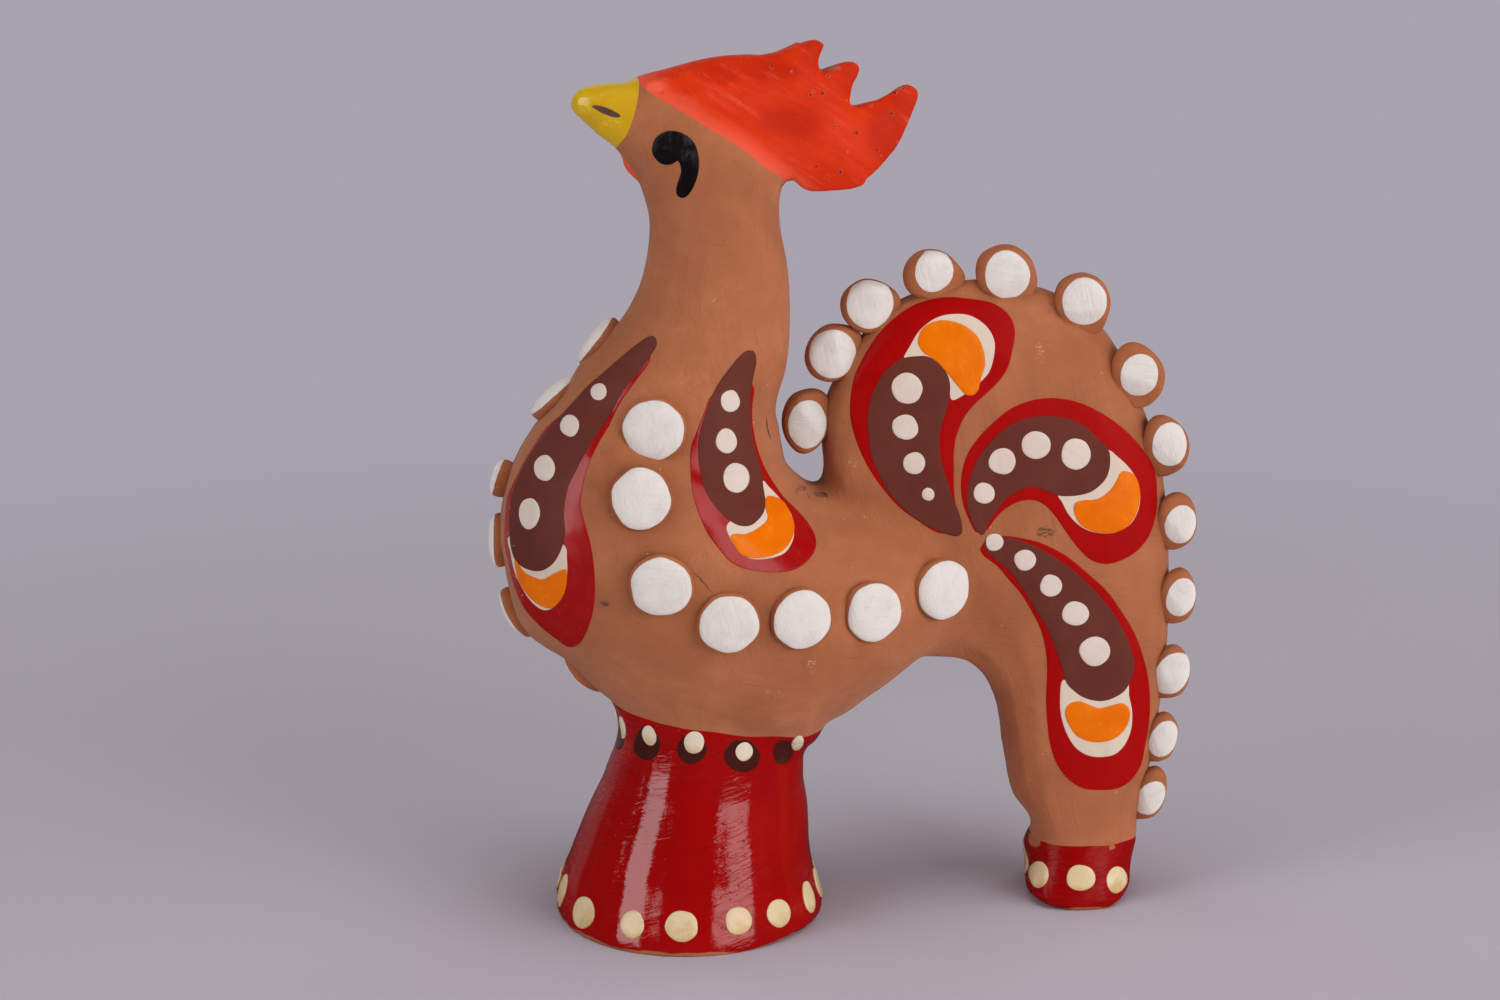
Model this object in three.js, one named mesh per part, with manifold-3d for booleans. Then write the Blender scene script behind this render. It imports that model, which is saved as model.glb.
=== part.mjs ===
// A hand-built clay rooster: an egg-shaped body on a flared hollow skirt, a long neck and head,
// and a slab tail that comes down behind to a foot of its own.
// Every lump, slab and pressed pellet is its own piece of clay, luted on with a thin layer of slip.
// Millimetres. +Z is up, the beak points to -X and the tail lies towards +X.
// The origin is on the floor, under the middle of the figure.

import * as THREE from "three";
import { LoftGeometry } from "three/addons/geometries/LoftGeometry.js";
import { mergeVertices } from "three/addons/utils/BufferGeometryUtils.js";
import Module from "manifold-3d";

// Driving dimensions.

// The layer of slip left between two luted pieces.
const SLIP_GAP = 0.3;

// Pedestal: a hollow skirt that leans back a little as it rises.
const PEDESTAL_HEIGHT = 36;
const PEDESTAL_FOOT_RADIUS = 24.4;
const PEDESTAL_COLLAR_RADIUS = 17.3;
const PEDESTAL_WALL = 5;
const PEDESTAL_LEAN = 4;
const PEDESTAL_SIDES = 36;

// Body: the egg, from the tip of the breast to the rump that runs into the tail.
const BODY_LENGTH = 92.6;
const BODY_HEIGHT = 70.5;
const BODY_WIDTH = 50;
// How far the breast reaches in front of the collar's middle, and how deep the belly sits in it.
const BREAST_REACH = 38.6;
const BELLY_SEAT = 6.5;

// Neck and head: one lump, drawn up from the shoulders and bent forward to the beak.
const NECK_HEIGHT = 72;
const NECK_LENGTH = 23.2;
const NECK_WIDTH = 21.6;
const NECK_SETBACK = 1;

// Beak.
const BEAK_LENGTH = 9.6;
const BEAK_ROOT_HEIGHT = 11.5;
const BEAK_ROOT_WIDTH = 11.2;
const BEAK_DROOP = 0.4;

// Comb: a slab swept back over the crown, with three points.
const COMB_LENGTH = 48.6;
const COMB_HEIGHT = 25.4;
const COMB_ROOT_THICKNESS = 12;
const COMB_EDGE_THICKNESS = 5.4;
const COMB_EDGE_ROUNDING = 1.1;
// The comb's root is smeared over the crown in a skin of this thickness.
const COMB_SADDLE = 1.4;

// Wattle: a small pad under the beak.
const WATTLE_DIAMETER = 6;
const WATTLE_HEIGHT = 1.3;
const WATTLE_DROP = 3.4;

// Tail: one slab, a fan above and a leg below.
const TAIL_LENGTH = 64.5;
const FAN_HEIGHT = 37.2;
const FAN_THICKNESS = 13;
const LEG_THICKNESS = 19;
// How flat the slab's faces are: 2 is a plain oval section, and more is squarer.
const TAIL_FLATNESS = 2.8;

// Foot: a pad under the end of the leg, with a ledge on its inner side.
const FOOT_HEIGHT = 10.8;
const FOOT_LENGTH = 20.2;
const FOOT_WIDTH = 21;
const FOOT_ROUNDING = 1.6;
const FOOT_LEDGE = 0.8;
const FOOT_HEEL = -0.6;
const FOOT_FLATNESS = 2.3;
const FOOT_SIDES = 28;

// Pellets: balls of clay pressed flat where they sit.
const WING_PELLETS = 7;
const WING_PELLET_DIAMETER = 10.8;
const WING_PELLET_HEIGHT = 2.4;
const CHEST_PELLETS = 6;
const CHEST_PELLET_DIAMETER = 10;
const CHEST_PELLET_HEIGHT = 2.2;
const RIM_PELLET_DIAMETER = 10.2;
const RIM_PELLET_LENGTH = 7.4;
// The first pellets of the rim stand out from its edge and face sideways.
const RIM_PELLET_OVERHANG = 4.2;
// The last ones lie on the shoulder of the rim: set in from the edge, to one side of the middle,
// and turned to face outwards, in degrees.
const RIM_PELLET_INSET = 0.2;
const RIM_PELLET_OFFSET = 4.4;
const RIM_PELLET_TURN = 34;
// How deep a pellet's back reaches into the clay before its seat is cut.
const PELLET_ROOT = 2.4;
const PELLET_SIDES = 12;

// Places that follow from those sizes.
const COLLAR_X = PEDESTAL_LEAN;
const BODY_FRONT = COLLAR_X - BREAST_REACH;
const BODY_BOTTOM = PEDESTAL_HEIGHT - BELLY_SEAT;
const SHOULDER = BODY_BOTTOM + 0.7 * BODY_HEIGHT;
const NECK_X = COLLAR_X + NECK_SETBACK;
const CROTCH_X = NECK_X + 0.8155 * NECK_LENGTH;
const CROTCH_Z = BODY_BOTTOM + 0.688 * BODY_HEIGHT;
const LEG_END = FOOT_HEIGHT + SLIP_GAP;

const wasm = await Module();
wasm.setup();

// Solids and booleans.

function toSolid(geometry) {
  const bare = new THREE.BufferGeometry().copy(geometry);
  bare.deleteAttribute("normal");
  bare.deleteAttribute("uv");
  const merged = mergeVertices(bare, 1e-4);
  const corners = merged.index.array;
  const kept = [];
  for (let i = 0; i < corners.length; i += 3) {
    const [a, b, c] = corners.slice(i, i + 3);
    if (a !== b && b !== c && c !== a) kept.push(a, b, c);
  }
  return new wasm.Manifold(
    new wasm.Mesh({
      numProp: 3,
      vertProperties: merged.attributes.position.array,
      triVerts: new Uint32Array(kept),
    }),
  );
}

function largest(solid) {
  return solid.decompose().sort((a, b) => b.volume() - a.volume())[0];
}

function toGeometry(solid) {
  const mesh = solid.getMesh();
  const geometry = new THREE.BufferGeometry();
  geometry.setAttribute("position", new THREE.BufferAttribute(mesh.vertProperties, 3));
  geometry.setIndex(new THREE.BufferAttribute(mesh.triVerts, 1));
  geometry.computeVertexNormals();
  return geometry;
}

// A point on a rounded outline of unit half sizes: an oval at a flatness of 2, squarer above it.
function rounded(angle, flatness) {
  const c = Math.cos(angle);
  const s = Math.sin(angle);
  const reach = (Math.abs(c) ** flatness + Math.abs(s) ** flatness) ** (-1 / flatness);
  return [c * reach, s * reach];
}

// Lofts through a ladder of rungs.
// A rung is [low x, low z, high x, high z, half width]; its section is rounded across the
// middle plane, and the rungs are joined by smooth curves. A grown loft is larger all round.

function ladder(rungs, rings, sides, grown = 0, flatness = 2) {
  const low = new THREE.SplineCurve(rungs.map((r) => new THREE.Vector2(r[0], r[1])));
  const high = new THREE.SplineCurve(rungs.map((r) => new THREE.Vector2(r[2], r[3])));
  const half = new THREE.SplineCurve(rungs.map((r, i) => new THREE.Vector2(i, r[4])));
  const spans = [];
  for (let i = 0; i <= rings; i += 1) {
    const t = i / rings;
    const a = low.getPoint(t);
    const b = high.getPoint(t);
    const middle = a.clone().add(b).multiplyScalar(0.5);
    const reach = a.distanceTo(b) / 2;
    spans.push({ middle, reach, up: b.sub(a), width: Math.max(half.getPoint(t).y, 0) });
  }
  // A tip has no direction of its own and takes its neighbour's.
  if (spans[0].reach < 1e-6) spans[0].up = spans[1].up;
  if (spans[rings].reach < 1e-6) spans[rings].up = spans[rings - 1].up;
  const start = spans[1].middle.clone().sub(spans[0].middle).setLength(-grown);
  const end = spans[rings].middle.clone().sub(spans[rings - 1].middle).setLength(grown);
  spans[0].middle.add(start);
  spans[rings].middle.add(end);
  const along = spans[1].middle.clone().sub(spans[0].middle);
  const hand = Math.sign(along.y * spans[1].up.x - along.x * spans[1].up.y);
  const sections = spans.map(({ middle, reach, up, width }) => {
    const u = up.clone().normalize();
    return Array.from({ length: sides }, (_, j) => {
      const [c, s] = rounded((j / sides) * 2 * Math.PI, flatness);
      const rise = c * (reach + grown);
      const side = s * (width + grown) * hand;
      return new THREE.Vector3(middle.x + u.x * rise, side, middle.y + u.y * rise);
    });
  });
  return new LoftGeometry(sections, {
    capStart: spans[0].reach + grown > 1e-6,
    capEnd: spans[rings].reach + grown > 1e-6,
  });
}

// Body.
// Each row of the form is [along the length, underside, back, half width], as shares of the body.

const BODY_FORM = [
  [0.0, 0.575, 0.575, 0.0],
  [0.012, 0.475, 0.675, 0.3],
  [0.044, 0.357, 0.793, 0.55],
  [0.104, 0.27, 0.905, 0.75],
  [0.2, 0.168, 1.0, 0.91],
  [0.32, 0.065, 0.98, 0.99],
  [0.46, 0.0, 0.875, 1.0],
  [0.59, 0.012, 0.715, 0.91],
  [0.698, 0.1, 0.655, 0.73],
  [0.784, 0.2, 0.625, 0.54],
  [0.87, 0.28, 0.58, 0.37],
  [0.946, 0.36, 0.53, 0.2],
  [1.0, 0.445, 0.445, 0.0],
];

const bodyRungs = BODY_FORM.map(([along, under, back, half]) => {
  const x = BODY_FRONT + along * BODY_LENGTH;
  const low = BODY_BOTTOM + under * BODY_HEIGHT;
  const high = BODY_BOTTOM + back * BODY_HEIGHT;
  return [x, low, x, high, (half * BODY_WIDTH) / 2];
});
const bodySolid = toSolid(ladder(bodyRungs, 26, 28));
const bodySeat = toSolid(ladder(bodyRungs, 26, 28, SLIP_GAP));

// Neck and head.
// Each row is [front along, front up, back along, back up, half width, flare], as shares of the
// neck, with the flare as a share of the way out to the body's half width.
// The last rung is the face on which the beak sits.

const NECK_FORM = [
  [-1.25, 0.01, 0.71, -0.02, 1, 0.646],
  [-1.13, 0.25, 0.525, 0.16, 1, 0.403],
  [-0.9, 0.342, 0.543, 0.292, 1, 0.228],
  [-0.664, 0.447, 0.569, 0.424, 1, 0.099],
  [-0.543, 0.548, 0.547, 0.542, 1, 0.038],
  [-0.496, 0.646, 0.491, 0.642, 1, 0],
  [-0.53, 0.724, 0.47, 0.722, 1, 0],
  [-0.62, 0.777, 0.474, 0.805, 1.01, 0],
  [-0.672, 0.803, 0.26, 0.902, 0.97, 0],
  [-0.706, 0.823, -0.11, 0.962, 0.87, 0],
  [-0.733, 0.84, -0.4, 0.993, 0.71, 0],
];

const neckRungs = NECK_FORM.map(([fx, fz, bx, bz, half, flare]) => [
  NECK_X + fx * NECK_LENGTH,
  SHOULDER + fz * NECK_HEIGHT,
  NECK_X + bx * NECK_LENGTH,
  SHOULDER + bz * NECK_HEIGHT,
  (half * NECK_WIDTH + flare * (BODY_WIDTH - NECK_WIDTH)) / 2,
]);
const THROAT = new THREE.Vector2(NECK_X - 0.75 * NECK_LENGTH, SHOULDER + 0.854 * NECK_HEIGHT);
const faceUp = new THREE.Vector2(0.33, 0.944).normalize();
const BROW = THROAT.clone().addScaledVector(faceUp, BEAK_ROOT_HEIGHT);
neckRungs.push([THROAT.x, THROAT.y, BROW.x, BROW.y, BEAK_ROOT_WIDTH / 2]);
const neckWhole = toSolid(ladder(neckRungs, 28, 24));
const neckSeat = toSolid(ladder(neckRungs, 28, 24, SLIP_GAP));

// Beak, on the face at the front of the head.

const faceOut = new THREE.Vector2(-faceUp.y, faceUp.x);
const beakMiddle = THROAT.clone().add(BROW).multiplyScalar(0.5);

function beakRung(along, tall, wide) {
  const out = SLIP_GAP + along * BEAK_LENGTH;
  const middle = beakMiddle.clone().addScaledVector(faceOut, out);
  middle.addScaledVector(faceUp, -BEAK_DROOP * along * along);
  const low = middle.clone().addScaledVector(faceUp, (-tall * BEAK_ROOT_HEIGHT) / 2);
  const high = middle.clone().addScaledVector(faceUp, (tall * BEAK_ROOT_HEIGHT) / 2);
  return [low.x, low.y, high.x, high.y, (wide * BEAK_ROOT_WIDTH) / 2];
}

const beakRungs = [
  beakRung(0, 1, 1),
  beakRung(0.22, 0.88, 0.9),
  beakRung(0.5, 0.68, 0.72),
  beakRung(0.8, 0.44, 0.48),
  beakRung(0.95, 0.26, 0.28),
  beakRung(1, 0, 0),
];
const beakSolid = toSolid(ladder(beakRungs, 9, 18));
const beakSeat = toSolid(ladder(beakRungs, 9, 18, SLIP_GAP));

// Comb: the outline runs from the brow over the crest and its points to the nape,
// then back through the head, where the head is cut away from it.

const combAt = (along, up) =>
  new THREE.Vector2(BROW.x + along * COMB_LENGTH, BROW.y + up * COMB_HEIGHT);
const combOutline = new THREE.CatmullRomCurve3(
  [
    [0, 0],
    [0.09, 0.085],
    [0.215, 0.15],
    [0.36, 0.165],
    [0.485, 0.165],
    [0.575, 0.225],
    [0.618, 0.256],
    [0.652, 0.225],
    [0.655, 0.12],
    [0.678, 0.065],
    [0.73, 0.095],
    [0.772, 0.11],
    [0.788, 0.05],
    [0.765, -0.08],
    [0.77, -0.165],
    [0.83, -0.16],
    [0.9, -0.1],
    [0.965, -0.045],
    [0.998, -0.09],
    [0.975, -0.225],
    [0.918, -0.48],
    [0.855, -0.62],
    [0.755, -0.71],
    [0.66, -0.72],
    [0.575, -0.69],
    [0.5, -0.645],
    [0.4, -0.6],
    [0.12, -0.28],
  ].map(([along, up]) => new THREE.Vector3(combAt(along, up).x, combAt(along, up).y, 0)),
  true,
  "centripetal",
);
const combShape = new THREE.Shape(
  combOutline
    .getPoints(60)
    .slice(1)
    .map((p) => new THREE.Vector2(p.x, p.y)),
);

// The slab is thick along the crown and thins evenly towards its points.
const crownAlong = new THREE.Vector2(0.81, -0.586);
const crownOut = new THREE.Vector2(-crownAlong.y, crownAlong.x);
const combReach = combAt(1, -0.1).sub(BROW).dot(crownOut);
const combBlank = new THREE.ExtrudeGeometry(combShape, {
  depth: 2 - 2 * (COMB_EDGE_ROUNDING / (COMB_EDGE_THICKNESS / 2)),
  steps: 1,
  bevelEnabled: true,
  bevelThickness: COMB_EDGE_ROUNDING / (COMB_EDGE_THICKNESS / 2),
  bevelSize: COMB_EDGE_ROUNDING,
  bevelOffset: -COMB_EDGE_ROUNDING / 2,
  bevelSegments: 2,
});

// Stands an extruded slab of unit half thickness up in the middle plane,
// with a half thickness that depends on the place.
function standUp(blank, halfThickness) {
  blank.computeBoundingBox();
  const { min, max } = blank.boundingBox;
  const place = blank.attributes.position;
  for (let i = 0; i < place.count; i += 1) {
    const x = place.getX(i);
    const z = place.getY(i);
    const side = (2 * (place.getZ(i) - min.z)) / (max.z - min.z) - 1;
    place.setXYZ(i, x, -side * halfThickness(x, z), z);
  }
  return blank;
}

const combSlab = toSolid(
  standUp(combBlank, (x, z) => {
    const out = new THREE.Vector2(x, z).sub(BROW).dot(crownOut) / combReach;
    return THREE.MathUtils.lerp(COMB_ROOT_THICKNESS, COMB_EDGE_THICKNESS, out) / 2;
  }),
);
const crownPlane = [crownOut.x, 0, crownOut.y];
const combSaddle = toSolid(ladder(neckRungs, 28, 24, COMB_SADDLE));
const combSolid = largest(
  combSlab
    .add(combSaddle.trimByPlane(crownPlane, BROW.dot(crownOut)))
    .subtract(neckSeat)
    .subtract(beakSeat),
);

// Tail: the fan rises from the back of the body, and the leg comes down to the foot.

const fanAt = (along, up) =>
  new THREE.Vector2(CROTCH_X + along * TAIL_LENGTH, CROTCH_Z + up * FAN_HEIGHT);
const legAt = (along, up) => new THREE.Vector2(CROTCH_X + along * TAIL_LENGTH, up * CROTCH_Z);
// Each rung runs from the outer rim to the inner edge, which turns round the arch under the tail.
const tailEdges = [
  [fanAt(0.0, 0.0), legAt(0.217, 0.63)],
  [fanAt(0.017, 0.11), legAt(0.231, 0.622)],
  [fanAt(0.012, 0.27), legAt(0.245, 0.615)],
  [fanAt(0.027, 0.46), legAt(0.264, 0.606)],
  [fanAt(0.085, 0.67), legAt(0.287, 0.597)],
  [fanAt(0.19, 0.88), legAt(0.31, 0.59)],
  [fanAt(0.33, 0.985), legAt(0.332, 0.59)],
  [fanAt(0.5, 1.0), legAt(0.357, 0.591)],
  [fanAt(0.671, 0.917), legAt(0.383, 0.589)],
  [fanAt(0.803, 0.737), legAt(0.409, 0.583)],
  [fanAt(0.893, 0.449), legAt(0.434, 0.573)],
  [fanAt(0.953, 0.175), legAt(0.455, 0.559)],
  [legAt(0.988, 0.938), legAt(0.475, 0.542)],
  [legAt(1.0, 0.794), legAt(0.495, 0.515)],
  [legAt(0.998, 0.649), legAt(0.515, 0.473)],
  [legAt(0.986, 0.503), legAt(0.53, 0.416)],
  [legAt(0.961, 0.355), legAt(0.543, 0.333)],
  [legAt(0.941, 0.232), legAt(0.572, 0.232)],
  [legAt(0.929, 0.12), legAt(0.635, 0.115)],
  [legAt(0.925, 0.0), legAt(0.639, 0.0)],
];
const rimCurve = new THREE.SplineCurve(tailEdges.map(([rim]) => rim));
const tailRungs = tailEdges.map(([rim, arch], i) => {
  const thickness = THREE.MathUtils.lerp(FAN_THICKNESS, LEG_THICKNESS, i / (tailEdges.length - 1));
  return [arch.x, arch.y, rim.x, rim.y, thickness / 2];
});

const tailWhole = toSolid(ladder(tailRungs, 57, 20, 0, TAIL_FLATNESS));
const tailSeat = toSolid(ladder(tailRungs, 57, 20, SLIP_GAP, TAIL_FLATNESS));
const tailSolid = largest(tailWhole.trimByPlane([0, 0, 1], LEG_END).subtract(bodySeat));

// The neck stands on the body and clear of the tail's root.
const neckSolid = largest(neckWhole.subtract(bodySeat));

// Pedestal: a leaning skirt, open below, whose collar takes the belly.
// Each row is [share of the height, share of the way from the collar's radius to the foot's].

const PEDESTAL_FORM = [
  [0.0, 0.96],
  [0.07, 1.0],
  [0.18, 0.88],
  [0.33, 0.65],
  [0.52, 0.36],
  [0.69, 0.1],
  [0.83, 0.01],
  [0.95, 0.0],
  [1.06, 0.08],
  [1.17, 0.2],
];

function pedestalRing(up, flare, inset) {
  const radius = THREE.MathUtils.lerp(PEDESTAL_COLLAR_RADIUS, PEDESTAL_FOOT_RADIUS, flare) - inset;
  const x = PEDESTAL_LEAN * Math.min(up, 1) ** 1.4;
  return Array.from({ length: PEDESTAL_SIDES }, (_, j) => {
    const [c, s] = rounded((j / PEDESTAL_SIDES) * 2 * Math.PI, 2);
    return new THREE.Vector3(x + radius * c, radius * s, up * PEDESTAL_HEIGHT);
  });
}

const outside = PEDESTAL_FORM.map(([up, flare]) => pedestalRing(up, flare, 0));
const inside = PEDESTAL_FORM.map(([up, flare]) => pedestalRing(up, flare, PEDESTAL_WALL));
const pedestalWhole = toSolid(new LoftGeometry([...outside, ...inside.reverse(), outside[0]]));
const pedestalSolid = largest(pedestalWhole.subtract(bodySeat));
const pedestalSeat = toSolid(
  new LoftGeometry(
    PEDESTAL_FORM.map(([up, flare]) => pedestalRing(up, flare, -SLIP_GAP)),
    { capStart: true, capEnd: true },
  ),
);

// Foot: the pad under the leg, flat below and rounded round its lower edge.

const heelX = legAt(0.929, 0.12).x + FOOT_HEEL;
const footX = heelX - FOOT_LENGTH / 2;

function footRing(inset, z) {
  return Array.from({ length: FOOT_SIDES }, (_, j) => {
    const [c, s] = rounded((j / FOOT_SIDES) * 2 * Math.PI, FOOT_FLATNESS);
    const x = footX + c * (FOOT_LENGTH / 2 - inset);
    return new THREE.Vector3(x, s * (FOOT_WIDTH / 2 - inset), z);
  });
}

const footRings = [];
for (let i = 0; i <= 3; i += 1) {
  const angle = (i / 3) * (Math.PI / 2);
  footRings.push(footRing(FOOT_ROUNDING * (1 - Math.sin(angle)), FOOT_ROUNDING * (1 - Math.cos(angle))));
}
footRings.push(footRing(0, FOOT_HEIGHT - FOOT_LEDGE));
footRings.push(footRing(FOOT_LEDGE, FOOT_HEIGHT));
const footSolid = toSolid(new LoftGeometry(footRings, { capStart: true, capEnd: true }));

// Finishes.

const clay = new THREE.MeshStandardMaterial({ color: 0xb06a45, roughness: 0.85, metalness: 0 });
const white = new THREE.MeshStandardMaterial({ color: 0xe6ded8, roughness: 0.8, metalness: 0 });
const scarlet = new THREE.MeshStandardMaterial({ color: 0xd8371a, roughness: 0.4, metalness: 0 });
const crimson = new THREE.MeshStandardMaterial({ color: 0x930508, roughness: 0.3, metalness: 0 });
const yellow = new THREE.MeshStandardMaterial({ color: 0xcfa51c, roughness: 0.45, metalness: 0 });

// The figure.

const figure = new THREE.Group();

function piece(name, solid, material) {
  const mesh = new THREE.Mesh(toGeometry(solid), material);
  mesh.name = name;
  figure.add(mesh);
  return mesh;
}

const body = piece("body", bodySolid, clay);
const neck = piece("neck_and_head", neckSolid, clay);
piece("beak", beakSolid, yellow);
piece("comb", combSolid, scarlet);
piece("tail", tailSolid, clay);
piece("pedestal", pedestalSolid, crimson);
piece("tail_foot", footSolid, crimson);

// Pellets.
// A pressed pellet is a flattened ball: it lies on +Y of its own frame and its back is at -Y.

function pressedBall(diameter, height, root) {
  const r = diameter / 2;
  const rows = [
    [0, -root],
    [0.85 * r, -root],
    [r, 0.4 * height],
    [0.88 * r, 0.85 * height],
    [0.55 * r, height],
    [0, height],
  ];
  return new THREE.LatheGeometry(
    rows.map(([x, y]) => new THREE.Vector2(x, y)),
    PELLET_SIDES,
  );
}

// Sets a pellet at a place, facing a way, and cuts its seat to the clay under it.
function setPellet(name, shape, place, facing, hosts, material) {
  const turn = new THREE.Quaternion().setFromUnitVectors(new THREE.Vector3(0, 1, 0), facing);
  const there = new THREE.Matrix4().compose(place, turn, new THREE.Vector3(1, 1, 1));
  const back = there.clone().invert();
  let solid = toSolid(shape);
  for (const host of hosts) solid = solid.subtract(host.transform(back.elements));
  const mesh = new THREE.Mesh(toGeometry(largest(solid)), material);
  mesh.name = name;
  mesh.position.copy(place);
  mesh.quaternion.copy(turn);
  figure.add(mesh);
}

const ray = new THREE.Raycaster();

function surfaceAt(from, towards) {
  ray.set(from, towards);
  const hit = ray.intersectObjects([body, neck], false)[0];
  return { place: hit.point, facing: hit.face.normal.clone() };
}

// The two rows that mark the edges of the wings, mirrored on the two sides.
const bodyAt = (along, up) =>
  new THREE.Vector2(BODY_FRONT + along * BODY_LENGTH, BODY_BOTTOM + up * BODY_HEIGHT);
const wingLine = new THREE.SplineCurve([
  bodyAt(0.29, 0.899),
  bodyAt(0.256, 0.744),
  bodyAt(0.29, 0.539),
  bodyAt(0.414, 0.441),
  bodyAt(0.551, 0.435),
  bodyAt(0.695, 0.426),
  bodyAt(0.845, 0.448),
]);
const wingBall = pressedBall(WING_PELLET_DIAMETER, WING_PELLET_HEIGHT, PELLET_ROOT);
const wingSpots = wingLine.getPoints(WING_PELLETS - 1);
const hosts = [bodySeat, neckSeat];
for (const [side, hand] of [
  ["left", -1],
  ["right", 1],
]) {
  wingSpots.forEach((spot, i) => {
    const from = new THREE.Vector3(spot.x, hand * 2 * BODY_WIDTH, spot.y);
    const { place, facing } = surfaceAt(from, new THREE.Vector3(0, -hand, 0));
    setPellet(`wing_pellet_${side}_${i + 1}`, wingBall, place, facing, [...hosts, tailSeat], white);
  });
}

// The row down the breast, a little to the right of its middle.
const breastAt = (drift, up) => new THREE.Vector2(drift * BODY_WIDTH, BODY_BOTTOM + up * BODY_HEIGHT);
const chestLine = new THREE.SplineCurve([
  breastAt(0.07, 1.065),
  breastAt(0.08, 0.925),
  breastAt(0.1, 0.71),
  breastAt(0.1, 0.565),
  breastAt(0.1, 0.375),
  breastAt(0.1, 0.205),
]);
const chestBall = pressedBall(CHEST_PELLET_DIAMETER, CHEST_PELLET_HEIGHT, PELLET_ROOT);
chestLine.getPoints(CHEST_PELLETS - 1).forEach((spot, i) => {
  const from = new THREE.Vector3(-2 * BODY_LENGTH, spot.x, spot.y);
  const { place, facing } = surfaceAt(from, new THREE.Vector3(1, 0, 0));
  setPellet(`chest_pellet_${i + 1}`, chestBall, place, facing, [...hosts, pedestalSeat], white);
});

// The row along the rim of the tail, as pressed by hand.
// Each entry is a pellet's share of the rim's run, and how much deeper than usual it was pressed.
const RIM_PRESSED = [
  [0.067, 0],
  [0.13, 0.6],
  [0.183, 0.4],
  [0.243, 1.4],
  [0.309, 0.7],
  [0.383, 0],
  [0.465, 0],
  [0.541, 0],
  [0.62, 0],
  [0.694, 0],
  [0.764, 0],
  [0.836, 0],
  [0.89, 0],
];
const rimBall = new THREE.LatheGeometry(
  [
    [0, -0.5],
    [0.76, -0.5],
    [0.96, -0.3],
    [0.96, 0.3],
    [0.76, 0.5],
    [0, 0.5],
  ].map(([r, y]) => new THREE.Vector2((r * RIM_PELLET_DIAMETER) / 2, y * RIM_PELLET_LENGTH)),
  PELLET_SIDES,
);
RIM_PRESSED.forEach(([t, deeper], i) => {
  const shoulder = THREE.MathUtils.smoothstep(t, RIM_PRESSED[2][0], RIM_PRESSED[6][0]);
  const spot = rimCurve.getPointAt(t);
  const run = rimCurve.getTangentAt(t);
  const out = new THREE.Vector3(-run.y, 0, run.x);
  const side = new THREE.Vector3(0, -1, 0);
  const turn = THREE.MathUtils.degToRad(RIM_PELLET_TURN) * shoulder;
  const facing = side.clone().multiplyScalar(Math.cos(turn)).addScaledVector(out, Math.sin(turn));
  const overhang = THREE.MathUtils.lerp(RIM_PELLET_OVERHANG, -RIM_PELLET_INSET, shoulder);
  const place = new THREE.Vector3(spot.x, 0, spot.y).addScaledVector(out, overhang - deeper);
  place.addScaledVector(side, RIM_PELLET_OFFSET * shoulder);
  setPellet(`rim_pellet_${i + 1}`, rimBall, place, facing, [tailSeat, neckSeat], white);
});

// The wattle under the beak.
const wattleFrom = new THREE.Vector3(-2 * BODY_LENGTH, 0.01, THROAT.y - WATTLE_DROP);
const wattleSpot = surfaceAt(wattleFrom, new THREE.Vector3(1, 0, 0));
const wattleBall = pressedBall(WATTLE_DIAMETER, WATTLE_HEIGHT, PELLET_ROOT / 2);
setPellet("wattle", wattleBall, wattleSpot.place, wattleSpot.facing, [neckSeat, beakSeat], scarlet);

// The origin goes on the floor under the middle of the figure.
const group = new THREE.Group();
group.add(figure);
figure.updateMatrixWorld(true);
const box = new THREE.Box3().setFromObject(figure, true);
const middle = box.getCenter(new THREE.Vector3());
figure.position.set(-middle.x, -middle.y, -box.min.z);

export default group;
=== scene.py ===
"""Looks of a hand-built clay rooster: one kneaded skin, pressed pellets and brushed-on paint.

The solids of the frame are copied, kneaded into one skin of clay, cut along the borders of the
paint and dressed. Pellets are turned one by one, and each layer of a plume is a film of paint
laid on the skin. Metres; the beak points to -X and the side that is seen first faces -Y.
"""

import logging
import math
from collections.abc import Callable, Sequence
from dataclasses import dataclass, field
from enum import Enum

import bmesh
import bpy
import numpy as np
from mathutils import Matrix, Vector, noise
from mathutils.bvhtree import BVHTree
from mathutils.geometry import delaunay_2d_cdt


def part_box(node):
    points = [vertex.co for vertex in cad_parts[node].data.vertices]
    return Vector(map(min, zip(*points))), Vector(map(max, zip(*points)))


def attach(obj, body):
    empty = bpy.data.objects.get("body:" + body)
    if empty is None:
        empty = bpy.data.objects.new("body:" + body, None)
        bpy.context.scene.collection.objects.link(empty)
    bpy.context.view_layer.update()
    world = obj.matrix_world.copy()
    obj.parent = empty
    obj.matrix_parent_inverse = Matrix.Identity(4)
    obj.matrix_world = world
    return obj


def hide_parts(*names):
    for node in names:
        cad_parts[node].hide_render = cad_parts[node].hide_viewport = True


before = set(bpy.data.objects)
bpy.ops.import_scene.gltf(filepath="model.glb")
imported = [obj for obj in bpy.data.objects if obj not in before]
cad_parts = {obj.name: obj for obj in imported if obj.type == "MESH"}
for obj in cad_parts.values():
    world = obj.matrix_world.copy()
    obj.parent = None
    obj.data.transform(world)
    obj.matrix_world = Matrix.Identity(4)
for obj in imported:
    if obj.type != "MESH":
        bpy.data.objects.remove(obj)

logging.basicConfig(level=logging.INFO, format="%(name)s: %(message)s")
log = logging.getLogger("rooster")

MM = 0.001
ROOT = "root"

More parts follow.
